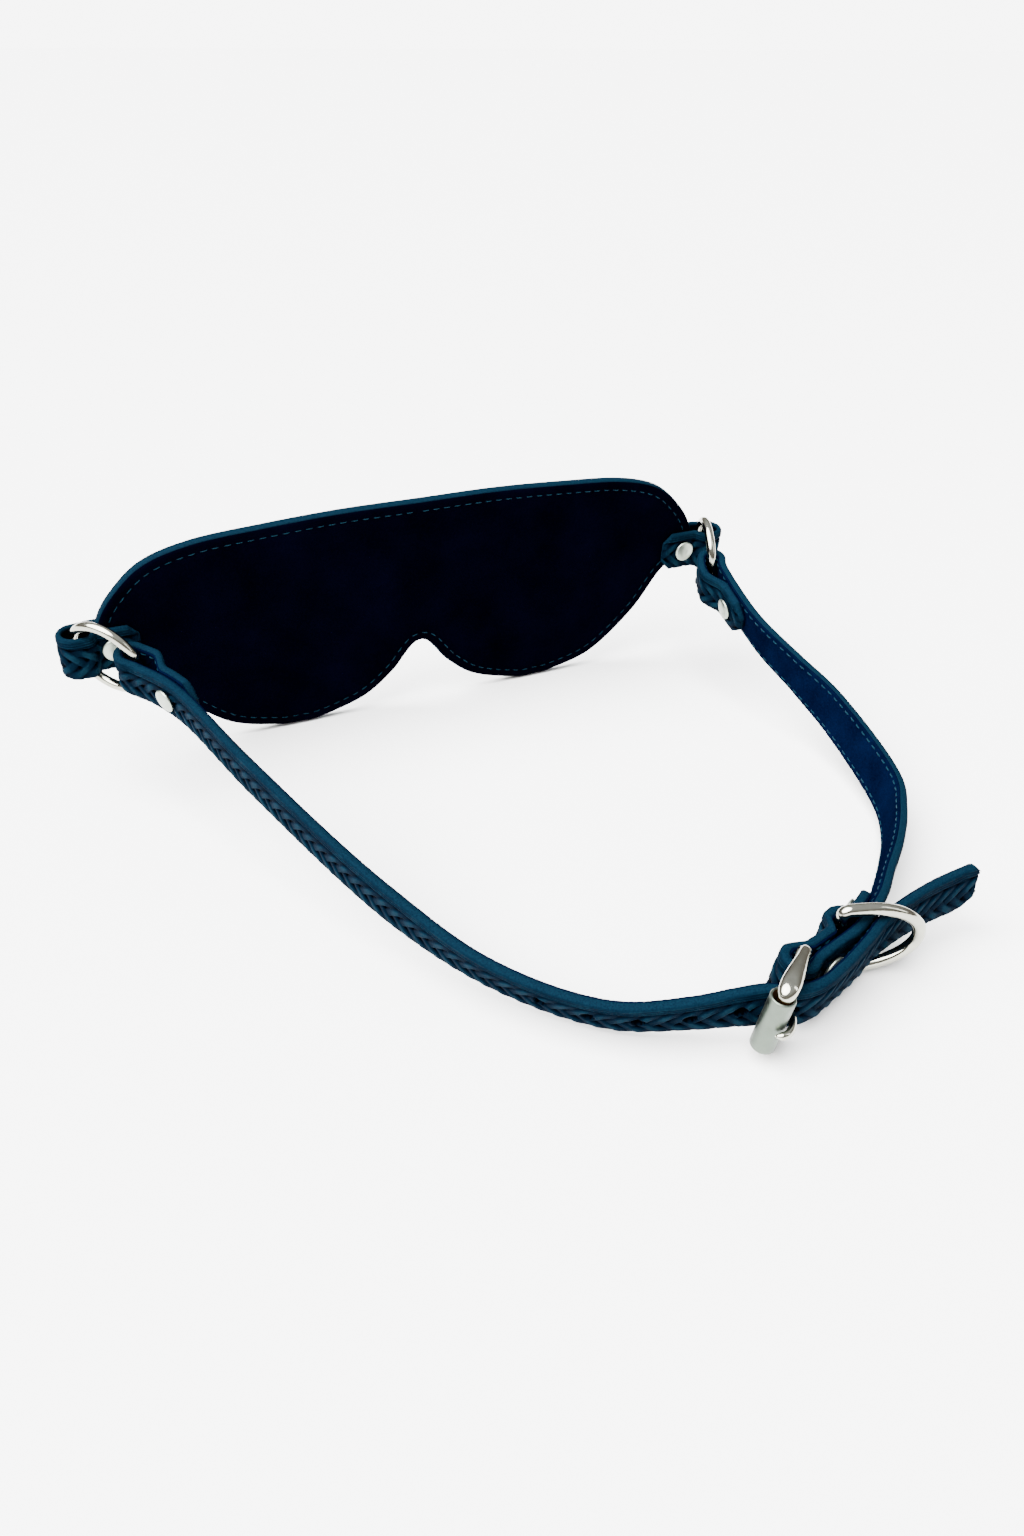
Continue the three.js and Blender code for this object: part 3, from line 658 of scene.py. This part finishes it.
def liningBand(name, path, width, top, bottom, inset):
    d = arcLength(path["p"])
    half = np.maximum(width(d, d[-1]) - inset, 0.4)
    columns = [(-1, top), (-1, bottom + 0.25), (-0.985, bottom + 0.05)]
    columns += [(f, bottom) for f in (-0.94, -0.7, -0.35, 0, 0.35, 0.7, 0.94)]
    columns += [(0.985, bottom + 0.05), (1, bottom + 0.25), (1, top)]
    nap = noiseMaker.normal(0, 0.03, (len(d), len(columns)))
    x = np.array([c[0] for c in columns])[None, :] * half[:, None]
    z = np.array([c[1] for c in columns])[None, :] + nap
    return makeMesh(name, bandPoints(path, x, z).reshape(-1, 3), cappedFaces(*x.shape))


halfThick = strap["thick"] / 2
between = -halfThick + strap["lining"]  # where leather meets lining
for name, path, width, shift, pits in (
        ("left", longPath, tipWidth, tipShift, holes), ("right", shortPath, clippedEnds, 0.0, ())):
    outer = leatherBand(name + "Strap", path, width, between, halfThick + 0.05, shift, pits)
    lining = liningBand(name + "StrapLining", path, width, between + 0.2, -halfThick, strap["liningInset"])
    total = arcLength(path["p"])[-1]
    pile = Pile()
    s = strap["stitch"]
    for sign in (-1, 1):
        across = sign * (strap["width"] / 2 - s["inset"])
        stitches(pile, stitchesAlong(path, across, -halfThick, s["pitch"], s["length"], 5, total - 12))
    sewn = makeMesh(name + "StrapStitches", pile.points, pile.faces)
    place(outer, "strap", "embossed_leather", leatherLook, name + "_strap_outer")
    place(lining, "strap", "suede_lining", suedeLook, name + "_strap_lining")
    place(sewn, "strap", "suede_lining", threadLook)
print("straps ready")


mask = dict(
    lean=7, front=4.4, seam=3.2,  # degrees, then thickness and how far in the stitches run, mm
    outline=[
        (0, 74.3), (26, 74.3), (51, 73.1), (72, 71.3), (87, 66.8), (97, 58), (102, 50), (103, 43.5),
        (100, 39), (92.3, 34.6), (82, 19.7), (66.6, 5.9), (51, 0.9), (43.5, 0.3), (35.9, 0.6), (20.5, 5.4),
        (10.3, 13.2), (5.2, 19.6), (2.9, 22.3), (1.2, 23.4), (0, 23.6)],
    # rims from the face round the edge: inset, depth, how raised and how much a cut edge
    frontRim=[(0.06, 4.0, 0.7, 1), (0.0, 3.3, 0.7, 1), (0.0, 2.4, 0.6, 1), (0.08, 1.5, 0.5, 1),
              (0.5, 1.15, 0.3, 1), (2.6, 1.3, 0.1, 0)],
    liningRim=[(0.5, 0.8, 0, 0), (0.45, 1.1, 0, 0), (0.7, 1.3, 0, 0)],
    bandWidth=13, bandDepth=0.35, frontGroove=0.3, liningGroove=0.45, puff=0.315, rumple=0.12,
    grid=0.8,
)


def onMask(points):
    a = math.radians(mask["lean"])
    p = np.asarray(points, float)
    x, y, z = p[..., 0], p[..., 1], p[..., 2]
    return np.stack([x, y * math.cos(a) - z * math.sin(a), y * math.sin(a) + z * math.cos(a)], -1)


# The same uniform spline as the panel edge, mirrored at the middle
def maskOutline(spacing):
    q = np.array(mask["outline"], float)
    q = np.vstack([q[0], q, q[-1]])
    out = []
    for i in range(1, len(q) - 2):
        f = np.linspace(0, 1, 40, endpoint=False)[:, None]
        a, b, t1, t2 = q[i], q[i + 1], (q[i + 1] - q[i - 1]) / 2, (q[i + 2] - q[i]) / 2
        out.append(a + t1 * f + (3 * b - 3 * a - 2 * t1 - t2) * f ** 2 + (2 * a - 2 * b + t1 + t2) * f ** 3)
    half = np.vstack(out + [q[-1:]])
    d = arcLength(half)
    at = np.linspace(0, d[-1], int(d[-1] / spacing) + 1)
    half = readAt(at, d, half)
    return np.vstack([half, (half[1:-1] * vec(-1, 1))[::-1]])


def outlineNormals(line):
    t = unit(np.roll(line, -1, axis=0) - np.roll(line, 1, axis=0))
    return np.column_stack([t[:, 1], -t[:, 0]])  # toward the inside of the panel


def distanceToLine(points, line):
    best = np.full(len(points), 1e9)
    for k in range(0, len(points), 4000):
        part = points[k:k + 4000]
        best[k:k + 4000] = np.sqrt(((part[:, None, :] - line[None]) ** 2).sum(2).min(1))
    return best


# Fills the outline with a grid of points and returns points and triangles
def fillPanel(line, spacing, clear):
    xs = np.arange(line[:, 0].min() + clear, line[:, 0].max(), spacing)
    zs = np.arange(line[:, 1].min() + clear, line[:, 1].max(), spacing)
    grid = np.array([(x + (k % 2) * spacing / 2, z) for k, z in enumerate(zs) for x in xs])
    a, b = line, np.roll(line, -1, axis=0)
    inside = np.zeros(len(grid), bool)
    for p, q in zip(a, b):
        cuts = (p[1] > grid[:, 1]) != (q[1] > grid[:, 1])
        with np.errstate(divide="ignore", invalid="ignore"):
            x = (q[0] - p[0]) * (grid[:, 1] - p[1]) / (q[1] - p[1]) + p[0]
        inside ^= cuts & (grid[:, 0] < x)
    grid = grid[inside]
    grid = grid[distanceToLine(grid, line) > clear]
    points = [Vector(p) for p in np.vstack([line, grid])]
    edges = [(i, (i + 1) % len(line)) for i in range(len(line))]
    made = delaunay_2d_cdt(points, edges, [], 1, 1e-5)
    out = np.array([tuple(p) for p in made[0]])
    faces = [tuple(f) for f in made[2]]
    return out, faces


line = maskOutline(0.9)
inward = outlineNormals(line)


# Panel skin: a filled face that follows height(points, distance), then rings of rim from the outline
def panelSkin(name, faceInset, height, rim, values):
    ring = line + inward * faceInset
    flat, faces = fillPanel(ring, mask["grid"], mask["grid"] * 0.7)
    far = distanceToLine(flat, line)
    depth = height(flat, far)
    points = [onMask(np.column_stack([flat[:, 0], depth, flat[:, 1]]))]
    marks = [values(flat, far)]
    count = len(line)
    order = np.array([np.argmin(((flat - p) ** 2).sum(1)) for p in ring])
    start = len(flat)
    previous = list(order)
    for inset, y, relief, edge in rim:
        at = line + inward * inset
        wavy = np.full(count, y) + noiseMaker.normal(0, 0.02, count)
        points.append(onMask(np.column_stack([at[:, 0], wavy, at[:, 1]])))
        marks.append(np.tile(vec(relief, edge), (count, 1)))
        current = list(range(start, start + count))
        for k in range(count):
            n = (k + 1) % count
            faces.append((previous[k], previous[n], current[n], current[k]))
        previous = current
        start += count
    marks = np.vstack(marks)
    return makeMesh(name, np.vstack(points), faces, dict(relief=marks[:, 0], edge=marks[:, 1]))


def liningHeight(flat, far):
    groove = mask["liningGroove"] * np.exp(-((far - mask["seam"]) / 0.7) ** 2)
    pad = -mask["puff"] * smooth(3.6, 14, far)
    x, z = flat[:, 0], flat[:, 1]
    rumple = mask["rumple"] * np.sin(x * 0.21 + z * 0.13) * np.sin(z * 0.19 - x * 0.07)
    return 0.35 + groove + pad + rumple * smooth(3, 12, far) + 0.25 * (1 - smooth(0, 1.2, far))


# The front repeats the strap's band in rows
def frontBands(flat):
    wide = mask["bandWidth"]
    return bandHeight(flat[:, 0], flat[:, 1] % wide - wide / 2, (np.array([0, 1]), np.array([0, 0])))


def frontHeight(flat, far):
    stamped = mask["bandDepth"] * (1 - frontBands(flat)) * smooth(3.5, 5, far)
    groove = mask["frontGroove"] * np.exp(-((far - mask["seam"]) / 0.5) ** 2)
    return mask["front"] - stamped - 0.3 * (1 - smooth(0, 1.2, far)) - groove


def frontMarks(flat, far):
    lift = frontBands(flat)
    relief = 0.62 + (lift - 0.62) * smooth(3.5, 5, far)
    return np.column_stack([relief, 0.9 * (1 - smooth(0.2, 0.8, far))])


def liningMarks(flat, far):
    return np.zeros((len(flat), 2))


front = panelSkin("maskFront", 0.35, frontHeight, mask["frontRim"], frontMarks)
place(front, "mask", "embossed_leather", leatherLook, "mask_front_leather")
lining = panelSkin("maskLining", 0.75, liningHeight, mask["liningRim"], liningMarks)
place(lining, "mask", "velvet_lining", velvetLook, "mask_lining")
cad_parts["mask_padding"].data.materials.clear()
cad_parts["mask_padding"].data.materials.append(foamMaterial())

seam = dict(pitch=3.6, length=2.5, radius=0.17, liningDepth=0.72, frontDepth=4.1)
around = line + inward * mask["seam"]
around = np.vstack([around, around[:1]])
places = {-1: [], 1: []}
walk = arcLength(around)
at = 0.0
while at + seam["length"] < walk[-1]:
    ends = readAt(vec(at, at + seam["length"]), walk, around)
    for side, y in ((-1, seam["liningDepth"]), (1, seam["frontDepth"])):
        a, b = (onMask(vec(q[0], y, q[1])) for q in ends)
        places[side].append((a, b, onMask(vec(0, side, 0))))
    at += seam["pitch"] + random.uniform(-0.1, 0.1)
for side, slot, label in (
        (-1, "velvet_lining", "maskLiningStitches"), (1, "embossed_leather", "maskFrontStitches")):
    pile = Pile()
    stitches(pile, places[side], radius=seam["radius"])
    place(makeMesh(label, pile.points, pile.faces), "mask", slot, threadLook)
print("mask ready")


tab = dict(
    thick=1.8, half=6.5, clip=3.2, height=42.5, nose=(108.6, 0.3), radius=4.6, face=-1.2, front=5.6,
    tail=90.5, frontTail=92.0, rivet=98.5)


def bezier(a, b, c, d, count):
    f = np.linspace(0, 1, count)[:, None]
    return a * (1 - f) ** 3 + 3 * b * f * (1 - f) ** 2 + 3 * c * f ** 2 * (1 - f) + d * f ** 3


def tabPath(side):
    face, frontY, r = tab["face"], tab["front"], tab["radius"]
    cx, cy = tab["nose"]
    turn = np.linspace(-math.pi / 2, math.pi / 2, 40)[:, None]
    arc = vec(cx, cy) + r * np.hstack([np.cos(turn), np.sin(turn)])
    inwardPart = bezier(vec(102.5, face), vec(104, face), vec(104, cy - r), vec(105.8, cy - r), 20)
    outwardPart = bezier(vec(cx, cy + r), vec(106.4, cy + r), vec(105.4, frontY), vec(103.4, frontY), 20)
    tails = [vec(tab["tail"], face)], [vec(tab["frontTail"], frontY)]
    flat = np.vstack([tails[0], inwardPart, arc, outwardPart[1:], tails[1]])
    d = arcLength(flat)
    at = np.linspace(0, d[-1], int(d[-1] / step) + 1)
    flat = readAt(at, d, flat)
    t = unit(np.gradient(flat, axis=0))
    p = onMask(np.column_stack([flat[:, 0] * side, flat[:, 1], np.full(len(flat), tab["height"])]))
    n = onMask(np.column_stack([t[:, 1] * side, -t[:, 0], 0 * t[:, 0]]))
    w = np.tile(onMask(vec(0, 0, 1)), (len(flat), 1))
    return dict(p=p, w=w, n=n)


def tabWidth(d, total):
    return tab["half"] - np.maximum(0, tab["clip"] - d) - np.maximum(0, tab["clip"] - (total - d))


for name, side in (("left", -1), ("right", 1)):
    made = leatherBand(name + "Tab", tabPath(side), tabWidth, -tab["thick"] / 2, tab["thick"] / 2 + 0.05)
    place(made, "mask", "embossed_leather", leatherLook, name + "_tab")
print("tabs ready")


def axes(direction):
    n = unit(direction)
    a = unit(np.cross(n, vec(0, 0, 1) if abs(n[2]) < 0.9 else vec(1, 0, 0)))
    return a, np.cross(n, a), n


# Turned piece from rows of radius and height along the axis; wobble dents it a little
def turned(point, axis, rows, wobble, sides=48):
    a, b, n = axes(axis)
    points = []
    for radius, height in rows:
        for k in range(sides):
            t = 2 * math.pi * k / sides
            r = radius * (1 + wobble * math.sin(3 * t + height))
            up = height + wobble * radius * math.sin(2 * t + 1)
            points.append(point + (a * math.cos(t) + b * math.sin(t)) * r + n * up)
    return points, gridFaces(len(rows), sides)


rivet = dict(head=3.5, stem=1.2, gap=0.3, wobble=0.012)


def rivetPair(name, body, point, axis, outer, inner, base):
    head, stem, gap = rivet["head"], rivet["stem"], rivet["gap"]
    top, bottom = outer + gap, inner - gap
    cap = [
        (0.01, top - 0.25), (head - 0.5, top - 0.25), (head - 0.12, top - 0.1), (head, top + 0.25),
        (head - 0.05, top + 0.5), (head - 0.25, top + 0.72), (head - 0.55, top + 0.84),
        (head - 0.8, top + 0.86), (head - 1.0, top + 0.93), (head * 0.45, top + 1.08),
        (head * 0.2, top + 1.1), (0.01, top + 1.09)]
    post = [
        (0.01, top - 0.4), (stem, top - 0.4), (stem, bottom + 0.2), (head - 0.3, bottom + 0.1),
        (head, bottom - 0.25), (head - 0.1, bottom - 0.55), (head * 0.7, bottom - 0.85),
        (head * 0.4, bottom - 1.0), (0.01, bottom - 1.05)]
    for suffix, rows in (("Cap", cap), ("Post", post)):
        made = makeMesh(name + suffix, *turned(point, axis, rows, rivet["wobble"]))
        place(made, body, "rivet_nickel", rivetLook, base + "_" + suffix.lower())


faceNormal = onMask(vec(0, -1, 0))
for name, side in (("left", -1), ("right", 1)):
    centre = onMask(vec(side * tab["rivet"], 0, tab["height"]))
    rivetPair(name + "TabRivet", "mask", centre, faceNormal, 2.1, -6.5, name + "_tab_rivet")
# Strap rivets: distance from the fold and how far the tail lies behind
rivets = (
    ("leftStrapRivet", longRun, 17.4, apart, "left_strap_rivet"),
    ("rightStrapRivet", shortRun, 17.4, apart, "right_strap_rivet"),
    ("buckleRivet", shortBack, 9.4, strap["folded"], "buckle_rivet"),
    ("keeperRivet", shortBack, 30.6, strap["folded"], "keeper_rivet"))
for name, run, at, separation, base in rivets:
    p, w, n = stationAt(run, at)
    rivetPair(name, "strap", p, n, halfThick + 0.15, -halfThick - separation - 0.2, base)


# Bent wire along a closed line: round section with a flattened weld where the ends meet
def wireLoop(name, points, normals, radius, weldAt, sides=20):
    count = len(points)
    t = unit(np.roll(points, -1, axis=0) - np.roll(points, 1, axis=0))
    side = np.cross(t, normals)
    d = arcLength(points)
    away = np.abs(d - weldAt)
    r = radius * (1 + 0.05 * np.exp(-(away / 0.5) ** 2) - 0.035 * np.exp(-(away / 0.12) ** 2))
    out = []
    for i in range(count):
        for k in range(sides):
            a = 2 * math.pi * k / sides
            out.append(points[i] + (side[i] * math.cos(a) + normals[i] * math.sin(a)) * r[i])
    return makeMesh(name, out, gridFaces(count, sides, loop=True))


for name in ("left", "right"):
    ring = rings[name]
    d, up, pull, normal = ringFrame(ring)
    turn = np.linspace(0, 2 * math.pi, 160, endpoint=False)[:, None]
    points = ring["centre"] + (d * np.cos(turn) + up * np.sin(turn)) * rings["radius"]
    made = wireLoop(name + "Ring", points, np.tile(unit(np.cross(d, up)), (160, 1)), rings["wire"], 55)
    place(made, name + "_ring", "nickel_hardware", nickelLook, name + "_ring")

# Side bar: a domed casting, slim at the back bar, wide in front, its nose bent down into the roller
sideLine = dict(
    drop=0.35, sides=26,
    along=(-1.5, -0.6, 3.0, 8.0, 12.4, 15.0, 16.1, 16.2), rise=(8.7, 9.1, 9.5, 9.9, 10.0, 9.3, 8.0, 6.6),
    wide=(0.2, 1.25, 1.55, 2.0, 2.3, 2.2, 1.9, 1.7), thick=(0.2, 0.8, 1.05, 1.25, 1.35, 1.45, 1.5, 1.6))


def sideBar(pile, sign):
    sides = sideLine["sides"]
    marks = np.arange(len(sideLine["along"])) * 10.0
    table = np.column_stack([sideLine[k] for k in ("along", "rise", "wide", "thick")])
    fine = np.linspace(0, marks[-1], 60)
    rows = [splineThrough(np.column_stack([marks, table[:, c], 0 * marks]), 20) for c in range(4)]
    a, rise, wide, thick = (np.interp(fine, row[:, 0], row[:, 1]) for row in rows)
    t = unit(np.column_stack([np.gradient(a), np.gradient(rise)]))
    points = []
    for i in range(len(fine)):
        for k in range(sides):
            turn = 2 * math.pi * k / sides
            off = thick[i] * math.sin(turn)
            out = sideLine["drop"] + wide[i] * math.cos(turn)
            points.append(inBuckle(vec(a[i] - t[i, 1] * off, out, sign * (rise[i] + t[i, 0] * off))))
    pile.add(points, cappedFaces(len(fine), sides, flip=True))


# Straight rod between the side bars, its ends sunk into them
def rod(pile, a, radius, sides=24):
    points = []
    reach = buckle["half"] + 0.6
    for c in (-reach, reach):
        for k in range(sides):
            t = 2 * math.pi * k / sides
            points.append(inBuckle(vec(a + radius * math.cos(t), radius * math.sin(t), c)))
    pile.add(points, cappedFaces(2, sides))


pile = Pile()
for sign in (1, -1):
    sideBar(pile, sign)
rod(pile, 0, buckle["wire"])
rod(pile, buckle["spacing"], buckle["pin"])
made = makeMesh("buckleFrame", pile.points, pile.faces)
place(made, "buckle_frame", "nickel_hardware", nickelLook, "buckle_frame")

# Roller: rolled sheet tube with turned-in lips and a seam line along it
rollerRows = [
    (2.35, -7.2), (2.4, -7.75), (2.6, -8.0), (2.85, -7.9), (3.0, -7.6), (3.02, -6.5), (3.03, 0), (3.02, 6.5),
    (3.0, 7.6), (2.85, 7.9), (2.6, 8.0), (2.4, 7.75), (2.35, 7.2), (2.3, 0), (2.35, -7.2)]
boreRows = (0, 11, 12, 13)  # the rows of faces inside the tube
points = []
sides = 64
for radius, c in rollerRows:
    for k in range(sides):
        t = 2 * math.pi * k / sides + 2.3
        dent = 0.16 * math.exp(-((k - 3) / 0.8) ** 2) if radius > 2.5 else 0
        r = radius - dent
        points.append(inBuckle(vec(buckle["spacing"] + r * math.cos(t), r * math.sin(t), c)))
roller = makeMesh("buckleRoller", points, gridFaces(len(rollerRows), sides))
place(roller, "buckle_roller", "nickel_hardware", rollerLook, "buckle_roller")
roller.data.materials.append(boreLook)
for face in roller.data.polygons:
    face.material_index = int(face.index // sides in boreRows)

# Prong: wire bent round the back bar, then a shank that widens and tapers to a curled tip
eye = buckle["wire"] + 0.35 + 0.9
loop = [vec(eye * math.sin(a), eye * math.cos(a), 0) for a in np.radians(150 + 21 * np.arange(11))]
shank = [(2.4, eye - 0.1), (6.6, 2), (9.4, 2.15), (13.2, 3.8), (16.2, 4.3), (18.6, 3.6), (20, 1.9)]
shank = [vec(a, b, 0) for a, b in shank]
line3 = splineThrough(loop + shank, 10)
t = unit(np.gradient(line3, axis=0))
d = arcLength(line3)
points = []
sides = 16
for i, p in enumerate(line3):
    side = np.cross(t[i], vec(0, 0, 1))
    left = d[-1] - d[i]
    thick = buckle["prong"] * min(1, 0.35 + left / 2.2) * min(1, 0.4 + d[i] / 1.5)
    wide = thick * (1 + 0.25 * float(smooth(6, 10, d[i]) * smooth(0, 5, left)))
    for k in range(sides):
        a = 2 * math.pi * k / sides
        points.append(inBuckle(p + side * math.cos(a) * thick + vec(0, 0, 1) * math.sin(a) * wide))
made = makeMesh("buckleProng", points, cappedFaces(len(line3), sides, flip=True))
place(made, "buckle_prong", "nickel_hardware", nickelLook, "buckle_prong")

keeper = dict(
    origin=vec(39.4, -177.1, 12.3), heading=-17.5, tilt=-6, half=9.6, wire=1.6, depth=20.8, arm=5.6,
    corner=2.2)
h, t = math.radians(keeper["heading"]), math.radians(keeper["tilt"])
along = vec(math.cos(h), math.sin(h), 0)
upward = vec(0, 0, math.cos(t)) + vec(-along[1], along[0], 0) * math.sin(t)
half, corner, arm = keeper["half"], keeper["corner"], keeper["arm"]


def quarter(a, b, c):
    bend = np.linspace(0, 1, 14)[:, None]
    return a * (1 - bend) ** 2 + 2 * b * bend * (1 - bend) + c * bend ** 2


bow = np.linspace(math.pi / 2, -math.pi / 2, 70)[:, None]
shape = np.vstack([
    [vec(0, 0)], quarter(vec(0, half - corner), vec(0, half), vec(corner, half)),
    vec(arm, 0) + np.hstack([(keeper["depth"] - arm) * np.cos(bow), half * np.sin(bow)]),
    quarter(vec(corner, -half), vec(0, -half), vec(0, corner - half)), [vec(0, 0)]])
d = arcLength(shape)
at = np.linspace(0, d[-1], 170)[:-1]
shape = readAt(at, d, shape)
points = keeper["origin"] + shape[:, 0:1] * along + shape[:, 1:2] * upward
normals = np.tile(unit(np.cross(along, upward)), (len(points), 1))
made = wireLoop("keeperRing", points, normals, keeper["wire"], d[-1] - 4)
place(made, "keeper_ring", "nickel_hardware", nickelLook, "keeper_ring")
print("metal ready")


# Key and fill lights: place, size and power. horizon is the extra glow of the room low down.
studio = dict(
    floor=60, paleness=0.93, sun=26.0, soft=70, sunTurn=(4, -30), room=1.0, horizon=6.3,
    key=dict(spot=(-0.5, -0.15, 0.8), size=(0.25, 0.5), power=3.0),
    fill=dict(spot=(0.6, -0.5, 0.5), size=(0.12, 0.5), power=1.5))


def addFloor():
    mesh = bpy.data.meshes.new("floor")
    reach = studio["floor"]
    corners = [(-reach, -reach, 0), (reach, -reach, 0), (reach, reach, 0), (-reach, reach, 0)]
    mesh.from_pydata(corners, [], [(0, 1, 2, 3)])
    floor = bpy.data.objects.new("floor", mesh)
    bpy.context.scene.collection.objects.link(floor)
    material, shader = newMaterial("paleFloor")[:2]
    shader.inputs["Base Color"].default_value = (*[studio["paleness"]] * 3, 1)
    shader.inputs["Roughness"].default_value = 0.9
    mesh.materials.append(material)


def addLight(name, spot, size, power):
    data = bpy.data.lights.new(name, "AREA")
    data.shape = "RECTANGLE"
    data.size, data.size_y = size
    data.energy = power
    light = bpy.data.objects.new(name, data)
    light.location = spot
    light.rotation_euler = (Vector((0, 0, 0.03)) - Vector(spot)).to_track_quat("-Z", "Y").to_euler()
    bpy.context.scene.collection.objects.link(light)


addFloor()
sun = bpy.data.lights.new("overhead", "SUN")
sun.energy = studio["sun"]
sun.angle = math.radians(studio["soft"])
lamp = bpy.data.objects.new("overhead", sun)
lamp.rotation_euler = (*(math.radians(turn) for turn in studio["sunTurn"]), 0)
bpy.context.scene.collection.objects.link(lamp)
for name in ("key", "fill"):
    addLight(name, **studio[name])

# The room: bright low down so the far floor has no seam, brown-grey walls, a pale ceiling
world = bpy.data.worlds.new("studioRoom")
world.use_nodes = True
tree = world.node_tree
direction = tree.nodes.new("ShaderNodeTexCoord")
split = tree.nodes.new("ShaderNodeSeparateXYZ")
tree.links.new(direction.outputs["Generated"], split.inputs[0])
tone = tree.nodes.new("ShaderNodeValToRGB")
tree.links.new(split.outputs["Z"], tone.inputs["Fac"])
stops = (
    (0.0, (1, 1, 1)), (0.04, (1, 1, 1)), (0.12, (0.34, 0.3, 0.27)), (0.4, (0.5, 0.48, 0.46)),
    (0.75, (0.95, 0.97, 1)))
while len(tone.color_ramp.elements) < len(stops):
    tone.color_ramp.elements.new(0.5)
for end, (position, colour) in zip(tone.color_ramp.elements, stops):
    end.position = position
    end.color = (*colour, 1)
glow = tree.nodes.new("ShaderNodeMapRange")
tree.links.new(split.outputs["Z"], glow.inputs["Value"])
glow.inputs["From Min"].default_value = 0.04
glow.inputs["From Max"].default_value = 0.1
glow.inputs["To Min"].default_value = studio["room"] + studio["horizon"]
glow.inputs["To Max"].default_value = studio["room"]
back = tree.nodes["Background"]
tree.links.new(tone.outputs["Color"], back.inputs["Color"])
tree.links.new(glow.outputs[0], back.inputs["Strength"])
bpy.context.scene.world = world

view = dict(
    place=(-0.12377, -0.24802, 0.19555),
    heading=0.431319, pitch=0.549474, roll=0.004354, lens=27.692)
cosA, sinA = math.cos(view["heading"]), math.sin(view["heading"])
cosP, sinP = math.cos(view["pitch"]), math.sin(view["pitch"])
forward = Vector((sinA * cosP, cosA * cosP, -sinP))
level = Vector((cosA, -sinA, 0))
upright = level.cross(forward)
turnR = Matrix.Rotation(-view["roll"], 3, forward)
rightward, upright = turnR @ level, turnR @ upright
camera = bpy.data.objects.new("camera", bpy.data.cameras.new("camera"))
camera.data.sensor_fit = "AUTO"
camera.data.sensor_width = 36
camera.data.lens = view["lens"]
camera.data.clip_start = 0.01
aim = Matrix((rightward, upright, -forward)).transposed()
camera.matrix_world = Matrix.Translation(view["place"]) @ aim.to_4x4()
bpy.context.scene.collection.objects.link(camera)
bpy.context.scene.camera = camera

print("stage ready")
